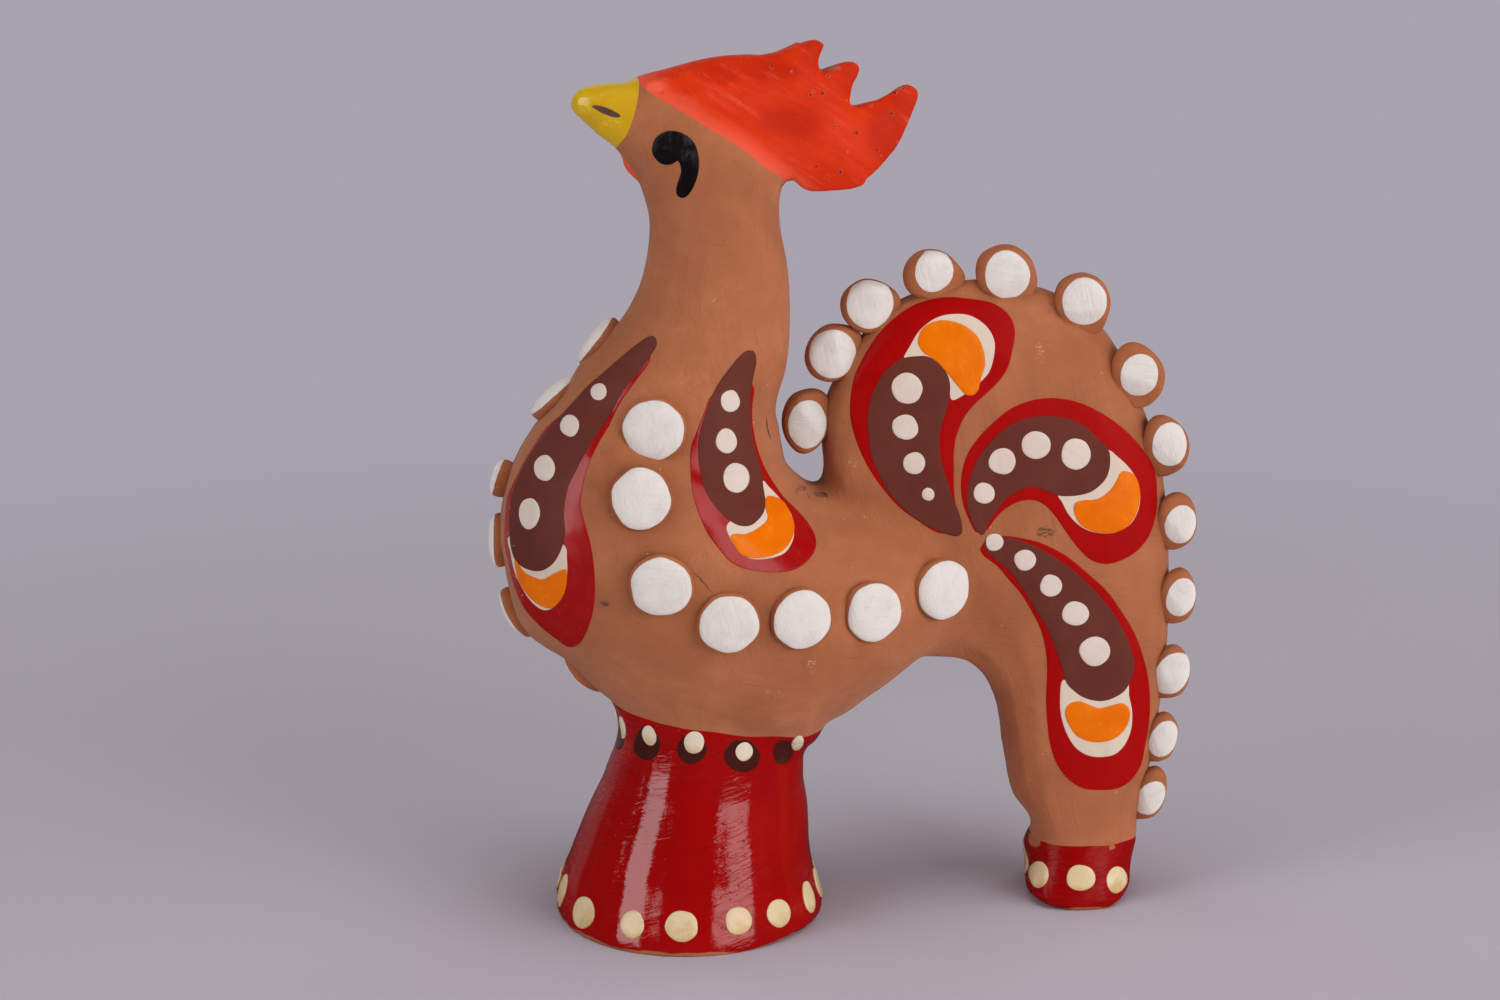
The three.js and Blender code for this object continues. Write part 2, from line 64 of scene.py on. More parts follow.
Colour = tuple[float, float, float]
Spot = tuple[float, float]
Area = tuple[float, float, float, float]
Dab = tuple[float, float, float, float, float]
Array = np.ndarray
Socket = bpy.types.NodeSocket
Draft = bmesh.types.BMesh


def eased(share: float | Array) -> float | Array:
    """Returns a share from 0 to 1 with soft ends."""
    return share * share * (3 - 2 * share)


def smoothstep(low: float, high: float, value: float) -> float:
    """Returns 0 at low, 1 at high and a soft step between them."""
    return eased(min(max((value - low) / (high - low), 0.0), 1.0))


def outward(azimuth: float, elevation: float) -> Vector:
    """Returns the way out at degrees round from the front, towards the tail, and above the horizon."""
    a, e = math.radians(azimuth), math.radians(elevation)
    return Vector((math.sin(a) * math.cos(e), -math.cos(a) * math.cos(e), math.sin(e)))


def place_piece(obj: bpy.types.Object, slot: str, nodes: Sequence[str] = ()) -> None:
    """Ties a finished piece to the frame.

    Args:
        obj: The piece.
        slot: The record's slot that its finish belongs to; not used.
        nodes: The solids that it stands for.
    """
    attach(obj, ROOT)
    if nodes:
        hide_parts(*nodes)
    faces = len(obj.data.polygons)
    log.info("%s: %d faces, stands for %s", obj.name, faces, ", ".join(nodes) or "paint")


def linked(name: str, data: bpy.types.ID) -> bpy.types.Object:
    """Returns a new object of the scene."""
    obj = bpy.data.objects.new(name, data)
    bpy.context.scene.collection.objects.link(obj)
    return obj


def new_object(name: str, mesh: bpy.types.Mesh, material: bpy.types.Material) -> bpy.types.Object:
    """Links a mesh with one material to the scene, smooth shaded, and returns its object."""
    mesh.materials.clear()
    mesh.materials.append(material)
    mesh.shade_smooth()
    return linked(name, mesh)


def draft_of(mesh: bpy.types.Mesh) -> Draft:
    """Returns a mesh as a draft to work on."""
    bm = bmesh.new()
    bm.from_mesh(mesh)
    return bm


def finished(name: str, bm: Draft) -> bpy.types.Mesh:
    """Returns a draft as a mesh and lets go of the draft."""
    mesh = bpy.data.meshes.new(name)
    bm.to_mesh(mesh)
    bm.free()
    return mesh


def joined(name: str, drafts: Sequence[Draft]) -> bpy.types.Mesh:
    """Returns several drafts as one mesh."""
    whole = bmesh.new()
    for bm in drafts:
        part = finished("part", bm)
        whole.from_mesh(part)
        bpy.data.meshes.remove(part)
    return finished(name, whole)


def points_of(mesh: bpy.types.Mesh, what: str = "co") -> Array:
    """Returns the places of a mesh's points, or their normals."""
    flat = np.zeros(len(mesh.vertices) * 3)
    mesh.vertices.foreach_get(what, flat)
    return flat.reshape(-1, 3)


def move_points(mesh: bpy.types.Mesh, points: Array) -> None:
    """Moves a mesh's points to new places."""
    mesh.vertices.foreach_set("co", points.ravel())
    mesh.update()


# Finishes.


class Ray(Enum):
    """A kind of ray that looks at a surface."""

    CAMERA = "Is Camera Ray"
    GLOSSY = "Is Glossy Ray"
    DIFFUSE = "Is Diffuse Ray"


class Nodes:
    """Sums and blends in a tree of shader nodes."""

    def __init__(self, tree: bpy.types.NodeTree) -> None:
        """Takes the tree to work in."""
        self.tree = tree

    def node(self, kind: str) -> bpy.types.Node:
        """Adds a shader node and returns it."""
        return self.tree.nodes.new(f"ShaderNode{kind}")

    def feed(self, socket: Socket, value: object) -> None:
        """Links a socket to another, or sets its own value."""
        if isinstance(value, Socket):
            self.tree.links.new(value, socket)
        elif isinstance(value, tuple) and len(value) == 3 and socket.type == "RGBA":
            socket.default_value = (*value, 1.0)
        else:
            socket.default_value = value

    def made(self, kind: str, output: str | int, inputs: dict, **settings: str) -> Socket:
        """Adds a node.

        Args:
            kind: Its kind.
            output: The output that is wanted.
            inputs: What feeds its inputs.
            settings: How it is set.

        Returns:
            The output.
        """
        node = self.node(kind)
        for name, setting in settings.items():
            setattr(node, name, setting)
        for name, value in inputs.items():
            self.feed(node.inputs[name], value)
        return node.outputs[output]

    def ray(self, kind: Ray) -> Socket:
        """Returns 1 where a ray of a kind looks at the surface."""
        return self.made("LightPath", kind.value, {})

    def axis(self, vector: Socket, name: str) -> Socket:
        """Returns one coordinate of a vector."""
        return self.made("SeparateXYZ", name, {"Vector": vector})

    def span(self, value: object, low: float, high: float, to_low: object = 0.0, to_high: object = 1.0,
             straight: bool = False) -> Socket:
        """Maps a value from one range to another with a smooth step.

        Args:
            value: The socket to map.
            low: Value that gives to_low.
            high: Value that gives to_high.
            to_low: Result at low and before it.
            to_high: Result at high and beyond it.
            straight: Whether the way between is straight.

        Returns:
            The mapped value.
        """
        ends = {"From Min": low, "From Max": high, "To Min": to_low, "To Max": to_high, "Value": value}
        way = "LINEAR" if straight else "SMOOTHSTEP"
        return self.made("MapRange", "Result", ends, interpolation_type=way)

    def sum(self, operation: str, a: object, b: object = 0.0) -> Socket:
        """Returns the result of one arithmetic operation on two values."""
        return self.made("Math", "Value", {0: a, 1: b}, operation=operation)

    def times(self, a: object, b: object) -> Socket:
        """Returns the product of two values."""
        return self.sum("MULTIPLY", a, b)

    def stray(self, pattern: Socket, size: float) -> Socket:
        """Returns a pattern as a distance to either side, of up to half a size."""
        return self.times(self.sum("SUBTRACT", pattern, 0.5), size)

    def blend(self, share: object, a: object, b: object) -> Socket:
        """Returns colour a where share is 0 and colour b where it is 1."""
        return self.made("Mix", 2, {"Factor": share, 6: a, 7: b}, data_type="RGBA")


class Shader(Nodes):
    """A node material under construction, with coordinates in millimetres."""

    def __init__(self, name: str) -> None:
        """Starts a material with an empty principled surface."""
        self.material = bpy.data.materials.new(name)
        self.material.use_nodes = True
        super().__init__(self.material.node_tree)
        self.tree.nodes.clear()
        self.surface = self.node("BsdfPrincipled")
        self.feed(self.node("OutputMaterial").inputs["Surface"], self.surface.outputs["BSDF"])
        self.place = self.mapped(self.node("TexCoord").outputs["Object"], (1000.0, 1000.0, 1000.0))

    def mapped(self, vector: Socket, scale: Colour, turn: Colour = (0, 0, 0)) -> Socket:
        """Returns coordinates that are turned, in degrees, and then stretched by a scale."""
        return self.made("Mapping", "Vector", {
            "Scale": [1 / k for k in scale], "Rotation": [math.radians(a) for a in turn], "Vector": vector,
        }, vector_type="TEXTURE")

    def noise(self, scale: float, detail: float = 2.0, rough: float = 0.5, along: Colour = (1, 1, 1),
              turn: Colour = (0, 0, 0), warp: float = 0.0) -> Socket:
        """Adds a noise pattern.

        Args:
            scale: Features in each millimetre.
            detail: Octaves of finer noise.
            rough: Strength of the finer octaves.
            along: Stretch of the coordinates, below 1 where the pattern is drawn out.
            turn: Turn of the pattern in degrees.
            warp: Distortion of the pattern.

        Returns:
            The pattern's value, about 0.5 on average.
        """
        plain = along == (1, 1, 1) and turn == (0, 0, 0)
        return self.made("TexNoise", "Fac", {
            "Scale": scale, "Detail": detail, "Roughness": rough, "Distortion": warp,
            "Vector": self.place if plain else self.mapped(self.place, along, turn),
        })

    def cells(self, scale: float) -> Socket:
        """Returns the distance to the nearest of scattered points, with scale points a millimetre."""
        return self.made("TexVoronoi", "Distance", {"Scale": scale, "Vector": self.place})

    def specks(self, count: float, size: Spot, patches: float, among: Spot, most: float = 1.0,
               along: Colour = (1, 1, 1)) -> Socket:
        """Scatters specks that keep to some patches.

        Args:
            count: Specks in each millimetre of a patch.
            size: Where a speck's edge begins and ends, as a share of their spacing.
            patches: Patches in each millimetre.
            among: Values of the patches' pattern between which specks come to show.
            most: How much of them shows at most.
            along: Stretch of the patches.

        Returns:
            How much of them shows.
        """
        spots = self.span(self.cells(count), *size, 1.0, 0.0)
        return self.times(spots, self.span(self.noise(patches, 1.0, along=along), *among, 0.0, most))

    def away_from_middle(self) -> Socket:
        """Returns the distance from the piece's origin in millimetres."""
        return self.made("VectorMath", "Value", {0: self.place}, operation="LENGTH")

    def carried(self, name: str) -> Socket:
        """Returns a number that the piece's own points carry."""
        return self.made("Attribute", "Fac", {}, attribute_name=name)

    def height(self, axis: str = "Z") -> Socket:
        """Returns the height above the floor, or the place along another axis, in millimetres."""
        return self.axis(self.place, axis)

    def bump(self, height: Socket, depth: float, under: object = None) -> Socket:
        """Adds relief.

        Args:
            height: Pattern of the relief.
            depth: Its depth in millimetres.
            under: Relief that it lies on.

        Returns:
            The bent normal.
        """
        inputs = {"Strength": 1.0, "Distance": depth * MM, "Height": height}
        if under is not None:
            inputs["Normal"] = under
        return self.made("Bump", "Normal", inputs)

    def glow(self, colour: Colour, strength: Socket) -> None:
        """Lets the surface show a colour of its own."""
        self.surface.inputs["Emission Color"].default_value = (*colour, 1.0)
        self.feed(self.surface.inputs["Emission Strength"], strength)

    def finish(self, colour: object, roughness: object, normal: object, specular: float = 0.5,
               sheen: float = 0.0) -> bpy.types.Material:
        """Joins the patterns to the surface and returns the material."""
        inputs = {
            "Base Color": colour, "Roughness": roughness, "Normal": normal, "Specular IOR Level": specular,
            "Sheen Weight": sheen,
        }
        for name, value in inputs.items():
            self.feed(self.surface.inputs[name], value)
        return self.material


@dataclass(frozen=True)
class FiredClay:
    """Bare terracotta, smoothed with wet fingers: mottled, finely gritty, with drag marks."""

    name: str = "fired_clay"
    pale: Colour = (0.46, 0.160, 0.068)
    middle: Colour = (0.39, 0.127, 0.051)
    dark: Colour = (0.32, 0.098, 0.038)
    grit: Colour = (0.16, 0.055, 0.030)
    crumb: Colour = (0.66, 0.40, 0.27)
    soot: Colour = (0.058, 0.029, 0.019)
    rub: Colour = (0.62, 0.43, 0.33)
    slit: Colour = (0.055, 0.020, 0.013)

    def share(self, shader: Shader, name: str, pattern: Socket, most: float,
              even: float = 1.0) -> Socket:
        """Shows a mark: what the points carry, broken up by a pattern.

        Args:
            shader: The material.
            name: The mark's name.
            pattern: The pattern.
            most: How much of the mark shows at most.
            even: How evenly it lies; less leaves specks.

        Returns:
            How much of it shows.
        """
        carried = shader.carried(name)
        flecks = shader.stray(pattern, 1.6)
        broken = shader.sum("ADD", shader.times(carried, even), flecks)
        shown = shader.span(broken, 0.52, 0.72, 0.0, most)
        return shader.times(shown, shader.span(carried, 0.02, 0.3))

    def crack(self, shader: Shader) -> Socket:
        """Returns 1 in the slit of a crack."""
        inside = shader.carried("crack_inside")
        stray = shader.stray(shader.noise(1.3), 0.5)
        away = shader.sum("ABSOLUTE", shader.sum("ADD", shader.carried("crack_across"), stray))
        wide = shader.span(inside, 0.0, 1.4, 0.03, 0.24)
        slit = shader.span(shader.sum("DIVIDE", away, wide), 0.5, 1.1, 1.0, 0.0)
        return shader.times(slit, shader.span(inside, 0.02, 0.3))

    def patterns(self, shader: Shader) -> tuple[Socket, Socket, Socket]:
        """Adds the clay's patterns to a material and returns its colour, roughness and normal."""
        cloud = shader.noise(0.055, 3.0, 0.55, warp=0.4)
        patch = shader.noise(0.35, 4.0, 0.6)
        grain = shader.noise(2.6, 3.0, 0.6)
        drag = shader.noise(0.5, 4.0, 0.65, along=(0.22, 0.22, 3.2), turn=(0, 8, 0))
        wipe = shader.noise(0.45, 4.0, 0.65, along=(3.4, 3.4, 0.18), turn=(0, -14, 0))
        where = shader.span(shader.noise(0.03, 1.0), 0.44, 0.56)
        marks = shader.blend(where, drag, wipe)
        colour = shader.blend(shader.span(cloud, 0.3, 0.7), self.dark, self.pale)
        colour = shader.blend(shader.span(patch, 0.25, 0.75, 0.0, 0.7), colour, self.middle)
        colour = shader.blend(shader.span(marks, 0.54, 0.74, 0.0, 0.6), colour, self.dark)
        colour = shader.blend(shader.span(grain, 0.70, 0.80, 0.0, 0.35), colour, self.pale)
        specks = shader.specks(0.55, (0.05, 0.10), 0.24, (0.52, 0.58), 0.8)
        colour = shader.blend(specks, colour, self.grit)
        crumbs = shader.specks(0.42, (0.04, 0.08), 0.15, (0.54, 0.58), 0.7, along=(1.3, 1.1, 0.9))
        colour = shader.blend(crumbs, colour, self.crumb)
        flakes = shader.noise(1.5, 5.0, 0.75, along=(0.6, 0.6, 1.6), turn=(0, -12, 0))
        colour = shader.blend(self.share(shader, "stain", flakes, 0.75, 0.66), colour, self.soot)
        strokes = shader.noise(2.4, 4.0, 0.7, along=(0.7, 0.7, 1.3), turn=(0, 25, 0))
        colour = shader.blend(self.share(shader, "scuff", strokes, 0.8, 0.47), colour, self.rub)
        crack = self.crack(shader)
        colour = shader.blend(crack, colour, self.slit)
        roughness = shader.span(patch, 0.25, 0.75, 0.58, 0.78)
        normal = shader.bump(grain, 0.06)
        normal = shader.bump(marks, 0.19, normal)
        normal = shader.bump(shader.span(shader.cells(0.42), 0.0, 0.16), 0.05, normal)
        normal = shader.bump(shader.sum("SUBTRACT", 1.0, crack), 0.2, normal)
        return colour, roughness, normal

    def material(self) -> bpy.types.Material:
        """Returns the finished material."""
        shader = Shader(self.name)
        return shader.finish(*self.patterns(shader), specular=0.16, sheen=0.10)


@dataclass(frozen=True)
class Chalk:
    """Thick matt whiting dabbed on a pellet, over bare clay where the dab ends."""

    name: str = "chalked_pellet"
    white: Colour = (0.73, 0.672, 0.635)
    shade: Colour = (0.60, 0.535, 0.50)
    speck: Colour = (0.09, 0.11, 0.11)
    clay: FiredClay = field(default_factory=FiredClay)

    def material(self) -> bpy.types.Material:
        """Returns the finished material; a piece carries its distance inside the dab as chalk."""
        shader = Shader(self.name)
        clay, clay_rough, clay_normal = self.clay.patterns(shader)
        ragged = shader.stray(shader.noise(0.7, 3.0), 0.22)
        inside = shader.sum("ADD", shader.carried("chalk"), ragged)
        share = shader.span(inside, -0.03, 0.07)
        brushed = shader.noise(0.42, 5.0, 0.62, along=(1.0, 1.0, 0.7), turn=(0, 35, 0), warp=0.5)
        white = shader.blend(shader.span(brushed, 0.42, 0.75, 0.0, 0.45), self.white, self.shade)
        specks = shader.specks(0.75, (0.035, 0.07), 0.33, (0.53, 0.60), 0.85)
        white = shader.blend(specks, white, self.speck)
        colour = shader.blend(share, clay, white)
        roughness = shader.span(brushed, 0.3, 0.7, 0.72, 0.88)
        normal = shader.bump(share, 0.10, clay_normal)
        normal = shader.bump(brushed, 0.16, normal)
        return shader.finish(colour, roughness, normal, specular=0.15)


@dataclass(frozen=True)
class Paint:
    """Brushed paint.

    Attributes:
        name: The material's name.
        colour: The full coat.
        thin: The coat where the brush ran dry; on the eye, grey streaks that are painted highlights.
        deep: The coat where it gathered.
        rough: Lowest and highest roughness.
        relief: Depth of the brush marks in millimetres.
        along: Stretch of the brush marks.
        turn: Turn of the brush marks in degrees.
        streak: How strongly the brush marks show in the colour.
        gloss: Strength of its reflections.
    """

    name: str
    colour: Colour
    thin: Colour
    deep: Colour
    rough: Spot = (0.42, 0.6)
    relief: float = 0.06
    along: Colour = (1.0, 1.0, 0.25)
    turn: Colour = (0.0, 0.0, 0.0)
    streak: float = 0.35
    gloss: float = 0.3

    def patterns(self, shader: Shader) -> tuple[Socket, Socket, Socket]:
        """Adds the coat's patterns to a material and returns its colour, roughness and normal."""
        brush = shader.noise(0.9, 4.0, 0.62, along=self.along, turn=self.turn, warp=0.3)
        cloud = shader.noise(0.12, 2.0)
        colour = shader.blend(shader.span(cloud, 0.35, 0.7, 0.0, 0.6), self.colour, self.deep)
        colour = shader.blend(shader.span(brush, 0.52, 0.78, 0.0, self.streak), colour, self.thin)
        specks = shader.specks(0.6, (0.03, 0.06), 0.2, (0.60, 0.66), 0.55)
        colour = shader.blend(specks, colour, self.thin)
        roughness = shader.span(brush, 0.3, 0.75, *self.rough)
        normal = shader.bump(brush, self.relief)
        normal = shader.bump(shader.noise(2.2, 2.0), 0.015, normal)
        return colour, roughness, normal

    def material(self) -> bpy.types.Material:
        """Returns the finished material."""
        shader = Shader(self.name)
        return shader.finish(*self.patterns(shader), specular=self.gloss)


@dataclass(frozen=True)
class Lacquer:
    """Glossy red lacquer, brushed round the skirt and worn to bare clay along its lower edge."""

    name: str = "red_lacquer"
    paint: Paint = Paint(
        "lacquer_coat", (0.355, 0.0012, 0.0012), (0.38, 0.003, 0.003), (0.30, 0.0010, 0.0011),
        rough=(0.05, 0.12), relief=0.06, along=(0.13, 0.13, 1.4), turn=(0.0, -14.0, 0.0), streak=0.12,
        gloss=0.68,
    )
    clay: FiredClay = field(default_factory=FiredClay)
    pit: Colour = (0.05, 0.004, 0.004)
    worn_to: float = 0.5

    def material(self) -> bpy.types.Material:
        """Returns the finished material."""
        shader = Shader(self.name)
        clay, _, _ = self.clay.patterns(shader)
        red, roughness, normal = self.paint.patterns(shader)
        pits = shader.specks(0.7, (0.10, 0.17), 0.07, (0.60, 0.64))
        red = shader.blend(shader.times(pits, 0.7), red, self.pit)
        hatch = shader.noise(1.5, 2.0, 0.6, along=(0.16, 0.16, 1.0), turn=(0.0, -14.0, 0.0), warp=0.2)
        hatch = shader.span(hatch, 0.46, 0.66)
        worked = shader.span(shader.noise(0.035, 1.0), 0.42, 0.56, 0.2, 1.0)
        normal = shader.bump(shader.times(hatch, worked), 0.05, normal)
        normal = shader.bump(shader.sum("SUBTRACT", 1.0, pits), 0.08, normal)
        edge = shader.stray(shader.noise(0.12, 3.0), 2.6)
        above = shader.sum("ADD", shader.height(), edge)
        coated = shader.span(above, self.worn_to - 0.12, self.worn_to + 0.12)
        missed = self.clay.share(shader, "bare", shader.noise(0.9, 4.0, 0.7), 1.0)
        coated = shader.sum("SUBTRACT", coated, missed)
        colour = shader.blend(coated, clay, red)
        dull = shader.span(coated, 0.0, 1.0, 0.5, 0.0)
        rough = shader.sum("ADD", roughness, dull)
        return shader.finish(colour, rough, normal, specular=self.paint.gloss)


@dataclass(frozen=True)
class Scarlet:
    """Thick scarlet paint with burst bubbles, which missed the edges between the comb's teeth; the bubbles'
    lips and the brow carry painted highlights.
    """

    name: str = "comb_scarlet"
    paint: Paint = Paint(
        "scarlet_coat", (0.67, 0.034, 0.004), (0.76, 0.075, 0.025), (0.55, 0.020, 0.002),
        rough=(0.34, 0.5), relief=0.10, along=(0.09, 0.5, 0.55), turn=(0.0, 33.0, 0.0), streak=0.4,
        gloss=0.08,
    )
    pale: Colour = (0.80, 0.105, 0.055)
    gathered: Colour = (0.49, 0.017, 0.002)
    hole: Colour = (0.34, 0.010, 0.002)
    missed: Colour = (0.27, 0.145, 0.105)
    clay: FiredClay = field(default_factory=FiredClay)

    def material(self) -> bpy.types.Material:
        """Returns the finished material."""
        shader = Shader(self.name)
        colour, roughness, normal = self.paint.patterns(shader)
        brushed = shader.noise(0.55, 4.0, 0.65, along=(0.12, 0.5, 0.9), turn=(0.0, 33.0, 0.0))
        ragged = shader.stray(brushed, 1.1)
        thick = shader.sum("ADD", shader.carried("thick"), ragged)
        colour = shader.blend(shader.span(thick, 0.0, 1.1, 0.0, 0.8), colour, self.gathered)
        colour = shader.blend(shader.span(brushed, 0.54, 0.72, 0.0, 0.5), colour, self.gathered)
        colour = shader.blend(shader.span(brushed, 0.30, 0.44, 0.3, 0.0), colour, self.pale)
        inlay = shader.sum("ADD", shader.carried("inlay"), shader.times(ragged, -3.2))
        # Paler along the lower border of the comb's paint, over about 4 mm, and at the brow, where the
        # carried 'thin' marks a painted highlight.
        thin = shader.sum("MAXIMUM", shader.span(inlay, 0.4, 3.8, 0.75, 0.0), shader.carried("thin"))
        colour = shader.blend(thin, colour, self.pale)
        away = shader.cells(0.36)
        some = shader.span(shader.noise(0.16, 1.0, along=(1.0, 1.3, 0.8)), 0.45, 0.49)
        some = shader.times(some, shader.span(shader.carried("inlay"), 3.0, 9.0, 0.3, 1.0))
        bubble = shader.times(shader.span(away, 0.10, 0.15, 1.0, 0.0), some)
        colour = shader.blend(shader.times(bubble, 0.8), colour, self.hole)
        bare = self.clay.share(shader, "bare", shader.noise(0.9, 4.0, 0.7), 0.9)
        colour = shader.blend(bare, colour, self.missed)
        # Each bubble's pit is coloured darker red and its lip pale: the pale lip is a painted highlight.
        ring = shader.times(shader.span(away, 0.15, 0.22, 1.0, 0.0), some)
        lip_highlight = shader.times(shader.sum("SUBTRACT", ring, bubble), 0.7)
        colour = shader.blend(lip_highlight, colour, self.pale)
        normal = shader.bump(shader.sum("SUBTRACT", ring, shader.times(bubble, 1.6)), 0.16, normal)
        rough = shader.sum("ADD", roughness, shader.times(bare, 0.4))
        return shader.finish(colour, rough, normal, specular=self.paint.gloss)


@dataclass(frozen=True)
class Cream:
    """A drop of cream paint that sagged and pooled yellow along its lower side."""

    name: str = "dot_cream"
    paint: Paint = Paint(
        "cream_coat", (0.74, 0.58, 0.36), (0.80, 0.69, 0.49), (0.68, 0.50, 0.27),
        rough=(0.14, 0.28), relief=0.05, along=(0.35, 0.35, 0.35), streak=0.8, gloss=0.3,
    )
    pool: Colour = (0.56, 0.35, 0.13)

    def material(self) -> bpy.types.Material:
        """Returns the finished material; a film carries how low a point lies in its drop as sag."""
        shader = Shader(self.name)
        colour, roughness, normal = self.paint.patterns(shader)
        stray = shader.stray(shader.noise(0.3, 3.0), 1.6)
        low = shader.span(shader.sum("ADD", shader.carried("sag"), stray), -0.05, 0.5, 0.0, 0.75)
        colour = shader.blend(low, colour, self.pool)
        return shader.finish(colour, roughness, normal, specular=self.paint.gloss)


PAINTS = (
    Paint("beak_yellow", (0.69, 0.43, 0.008), (0.76, 0.56, 0.03), (0.55, 0.28, 0.016), rough=(0.08, 0.18),
          relief=0.03, along=(0.3, 0.6, 0.5), turn=(0.0, -20.0, 0.0), streak=0.8, gloss=0.7),
    Paint("plume_red", (0.36, 0.0016, 0.0014), (0.39, 0.009, 0.007), (0.30, 0.0012, 0.0012),
          rough=(0.18, 0.3), relief=0.03, along=(0.7, 0.7, 0.2), streak=0.25, gloss=0.42),
    Paint("tail_red", (0.37, 0.0016, 0.0014), (0.39, 0.006, 0.005), (0.32, 0.0012, 0.0012),
          rough=(0.3, 0.45), relief=0.03, along=(0.7, 0.7, 0.2), streak=0.2, gloss=0.07),
    Paint("plume_brown", (0.132, 0.030, 0.020), (0.158, 0.043, 0.031), (0.112, 0.024, 0.016),
          rough=(0.45, 0.62), relief=0.025, along=(0.7, 0.7, 0.3), streak=0.35, gloss=0.12),
    Paint("blob_brown", (0.062, 0.012, 0.009), (0.085, 0.016, 0.012), (0.050, 0.010, 0.008),
          rough=(0.12, 0.24), relief=0.03, along=(0.4, 0.4, 0.6), streak=0.3, gloss=0.3),
    Paint("plume_orange", (0.80, 0.165, 0.0005), (0.86, 0.24, 0.002), (0.70, 0.120, 0.0004),
          rough=(0.16, 0.32), relief=0.06, along=(0.5, 0.5, 0.35), streak=0.5, gloss=0.12),
    Paint("plume_white", (0.68, 0.56, 0.46), (0.60, 0.43, 0.31), (0.64, 0.50, 0.40),
          rough=(0.5, 0.7), relief=0.04, along=(0.6, 0.6, 0.4), streak=0.45, gloss=0.15),
    Paint("plume_dots", (0.69, 0.58, 0.51), (0.60, 0.42, 0.35), (0.65, 0.51, 0.44),
          rough=(0.5, 0.7), relief=0.05, along=(0.6, 0.6, 0.6), streak=0.4, gloss=0.15),
    # The eye's thin coat is grey: its grey brush streaks are painted highlights on the glossy black.
    Paint("eye_black", (0.0065, 0.0045, 0.006), (0.080, 0.074, 0.078), (0.004, 0.003, 0.004),
          rough=(0.3, 0.46), relief=0.06, along=(0.5, 0.5, 0.3), streak=0.5, gloss=0.15),
    Paint("nostril_brown", (0.13, 0.055, 0.045), (0.22, 0.11, 0.08), (0.08, 0.035, 0.03),
          rough=(0.35, 0.5), relief=0.04, along=(0.5, 0.5, 0.5), streak=0.5, gloss=0.2),
)


class Finishes:
    """The finishes of the figure, each made once."""

    def __init__(self) -> None:
        """Makes every material."""
        self.clay = FiredClay().material()
        self.pellet = Chalk().material()
        self.lacquer = Lacquer().material()
        self.foot_lacquer = Lacquer("foot_lacquer", Paint(
            "foot_coat", (0.30, 0.0012, 0.0016), (0.33, 0.003, 0.004), (0.25, 0.0010, 0.0013),
            rough=(0.2, 0.34), relief=0.06, along=(0.2, 0.2, 1.4), streak=0.2, gloss=0.14,
        )).material()
        self.comb = Scarlet().material()
        self.paint = {paint.name: paint.material() for paint in PAINTS}
        self.dot_cream = Cream().material()
        self.dot_pale = Cream("dot_pale", Paint(
            "pale_coat", (0.77, 0.68, 0.52), (0.80, 0.72, 0.59), (0.73, 0.61, 0.42),
            rough=(0.2, 0.34), gloss=0.25,
        ), (0.66, 0.47, 0.22)).material()


# Viewpoint.


@dataclass(frozen=True)
class Push:
    """A small push of a finger that sets an outline right, as the viewpoint shows it.

    Attributes:
        at: Where it is.
        by: How far it moves the clay.
        reach: How far round it the clay follows.
    """

    at: Spot
    by: Spot
    reach: float


PUSHES = (
    Push((592, 362), (-6, -2), 42),
    Push((494, 560), (5, 0), 52),
    Push((562, 672), (7, -5), 38),
    Push((629, 176), (8, 0), 15),
    Push((600, 106), (0, -4), 28),
    Push((676, 66), (0, 4), 34),
    Push((786, 408), (-9, 0), 34),
    Push((792, 444), (-5, 0), 18),
    Push((797, 462), (-8, 0), 15),
    Push((1022, 815), (7, 0), 17),
    Push((1020, 862), (7, 0), 20),
    Push((1038, 893), (-6, 0), 20),
    Push((1127, 893), (-7, 0), 20),
    Push((1137, 866), (-6, 0), 22),
    Push((1142, 818), (-5, 0), 16),
    Push((818, 855), (-7, 0), 42),
    Push((786, 191), (3, -9), 14),
    Push((835, 194), (0, -3), 24),
    Push((619, 158), (6, 0), 12),
    Push((839, 727), (-13, -5), 24),
    Push((870, 702), (-3, -5), 22),
    Push((606, 728), (6, 0), 26),
)


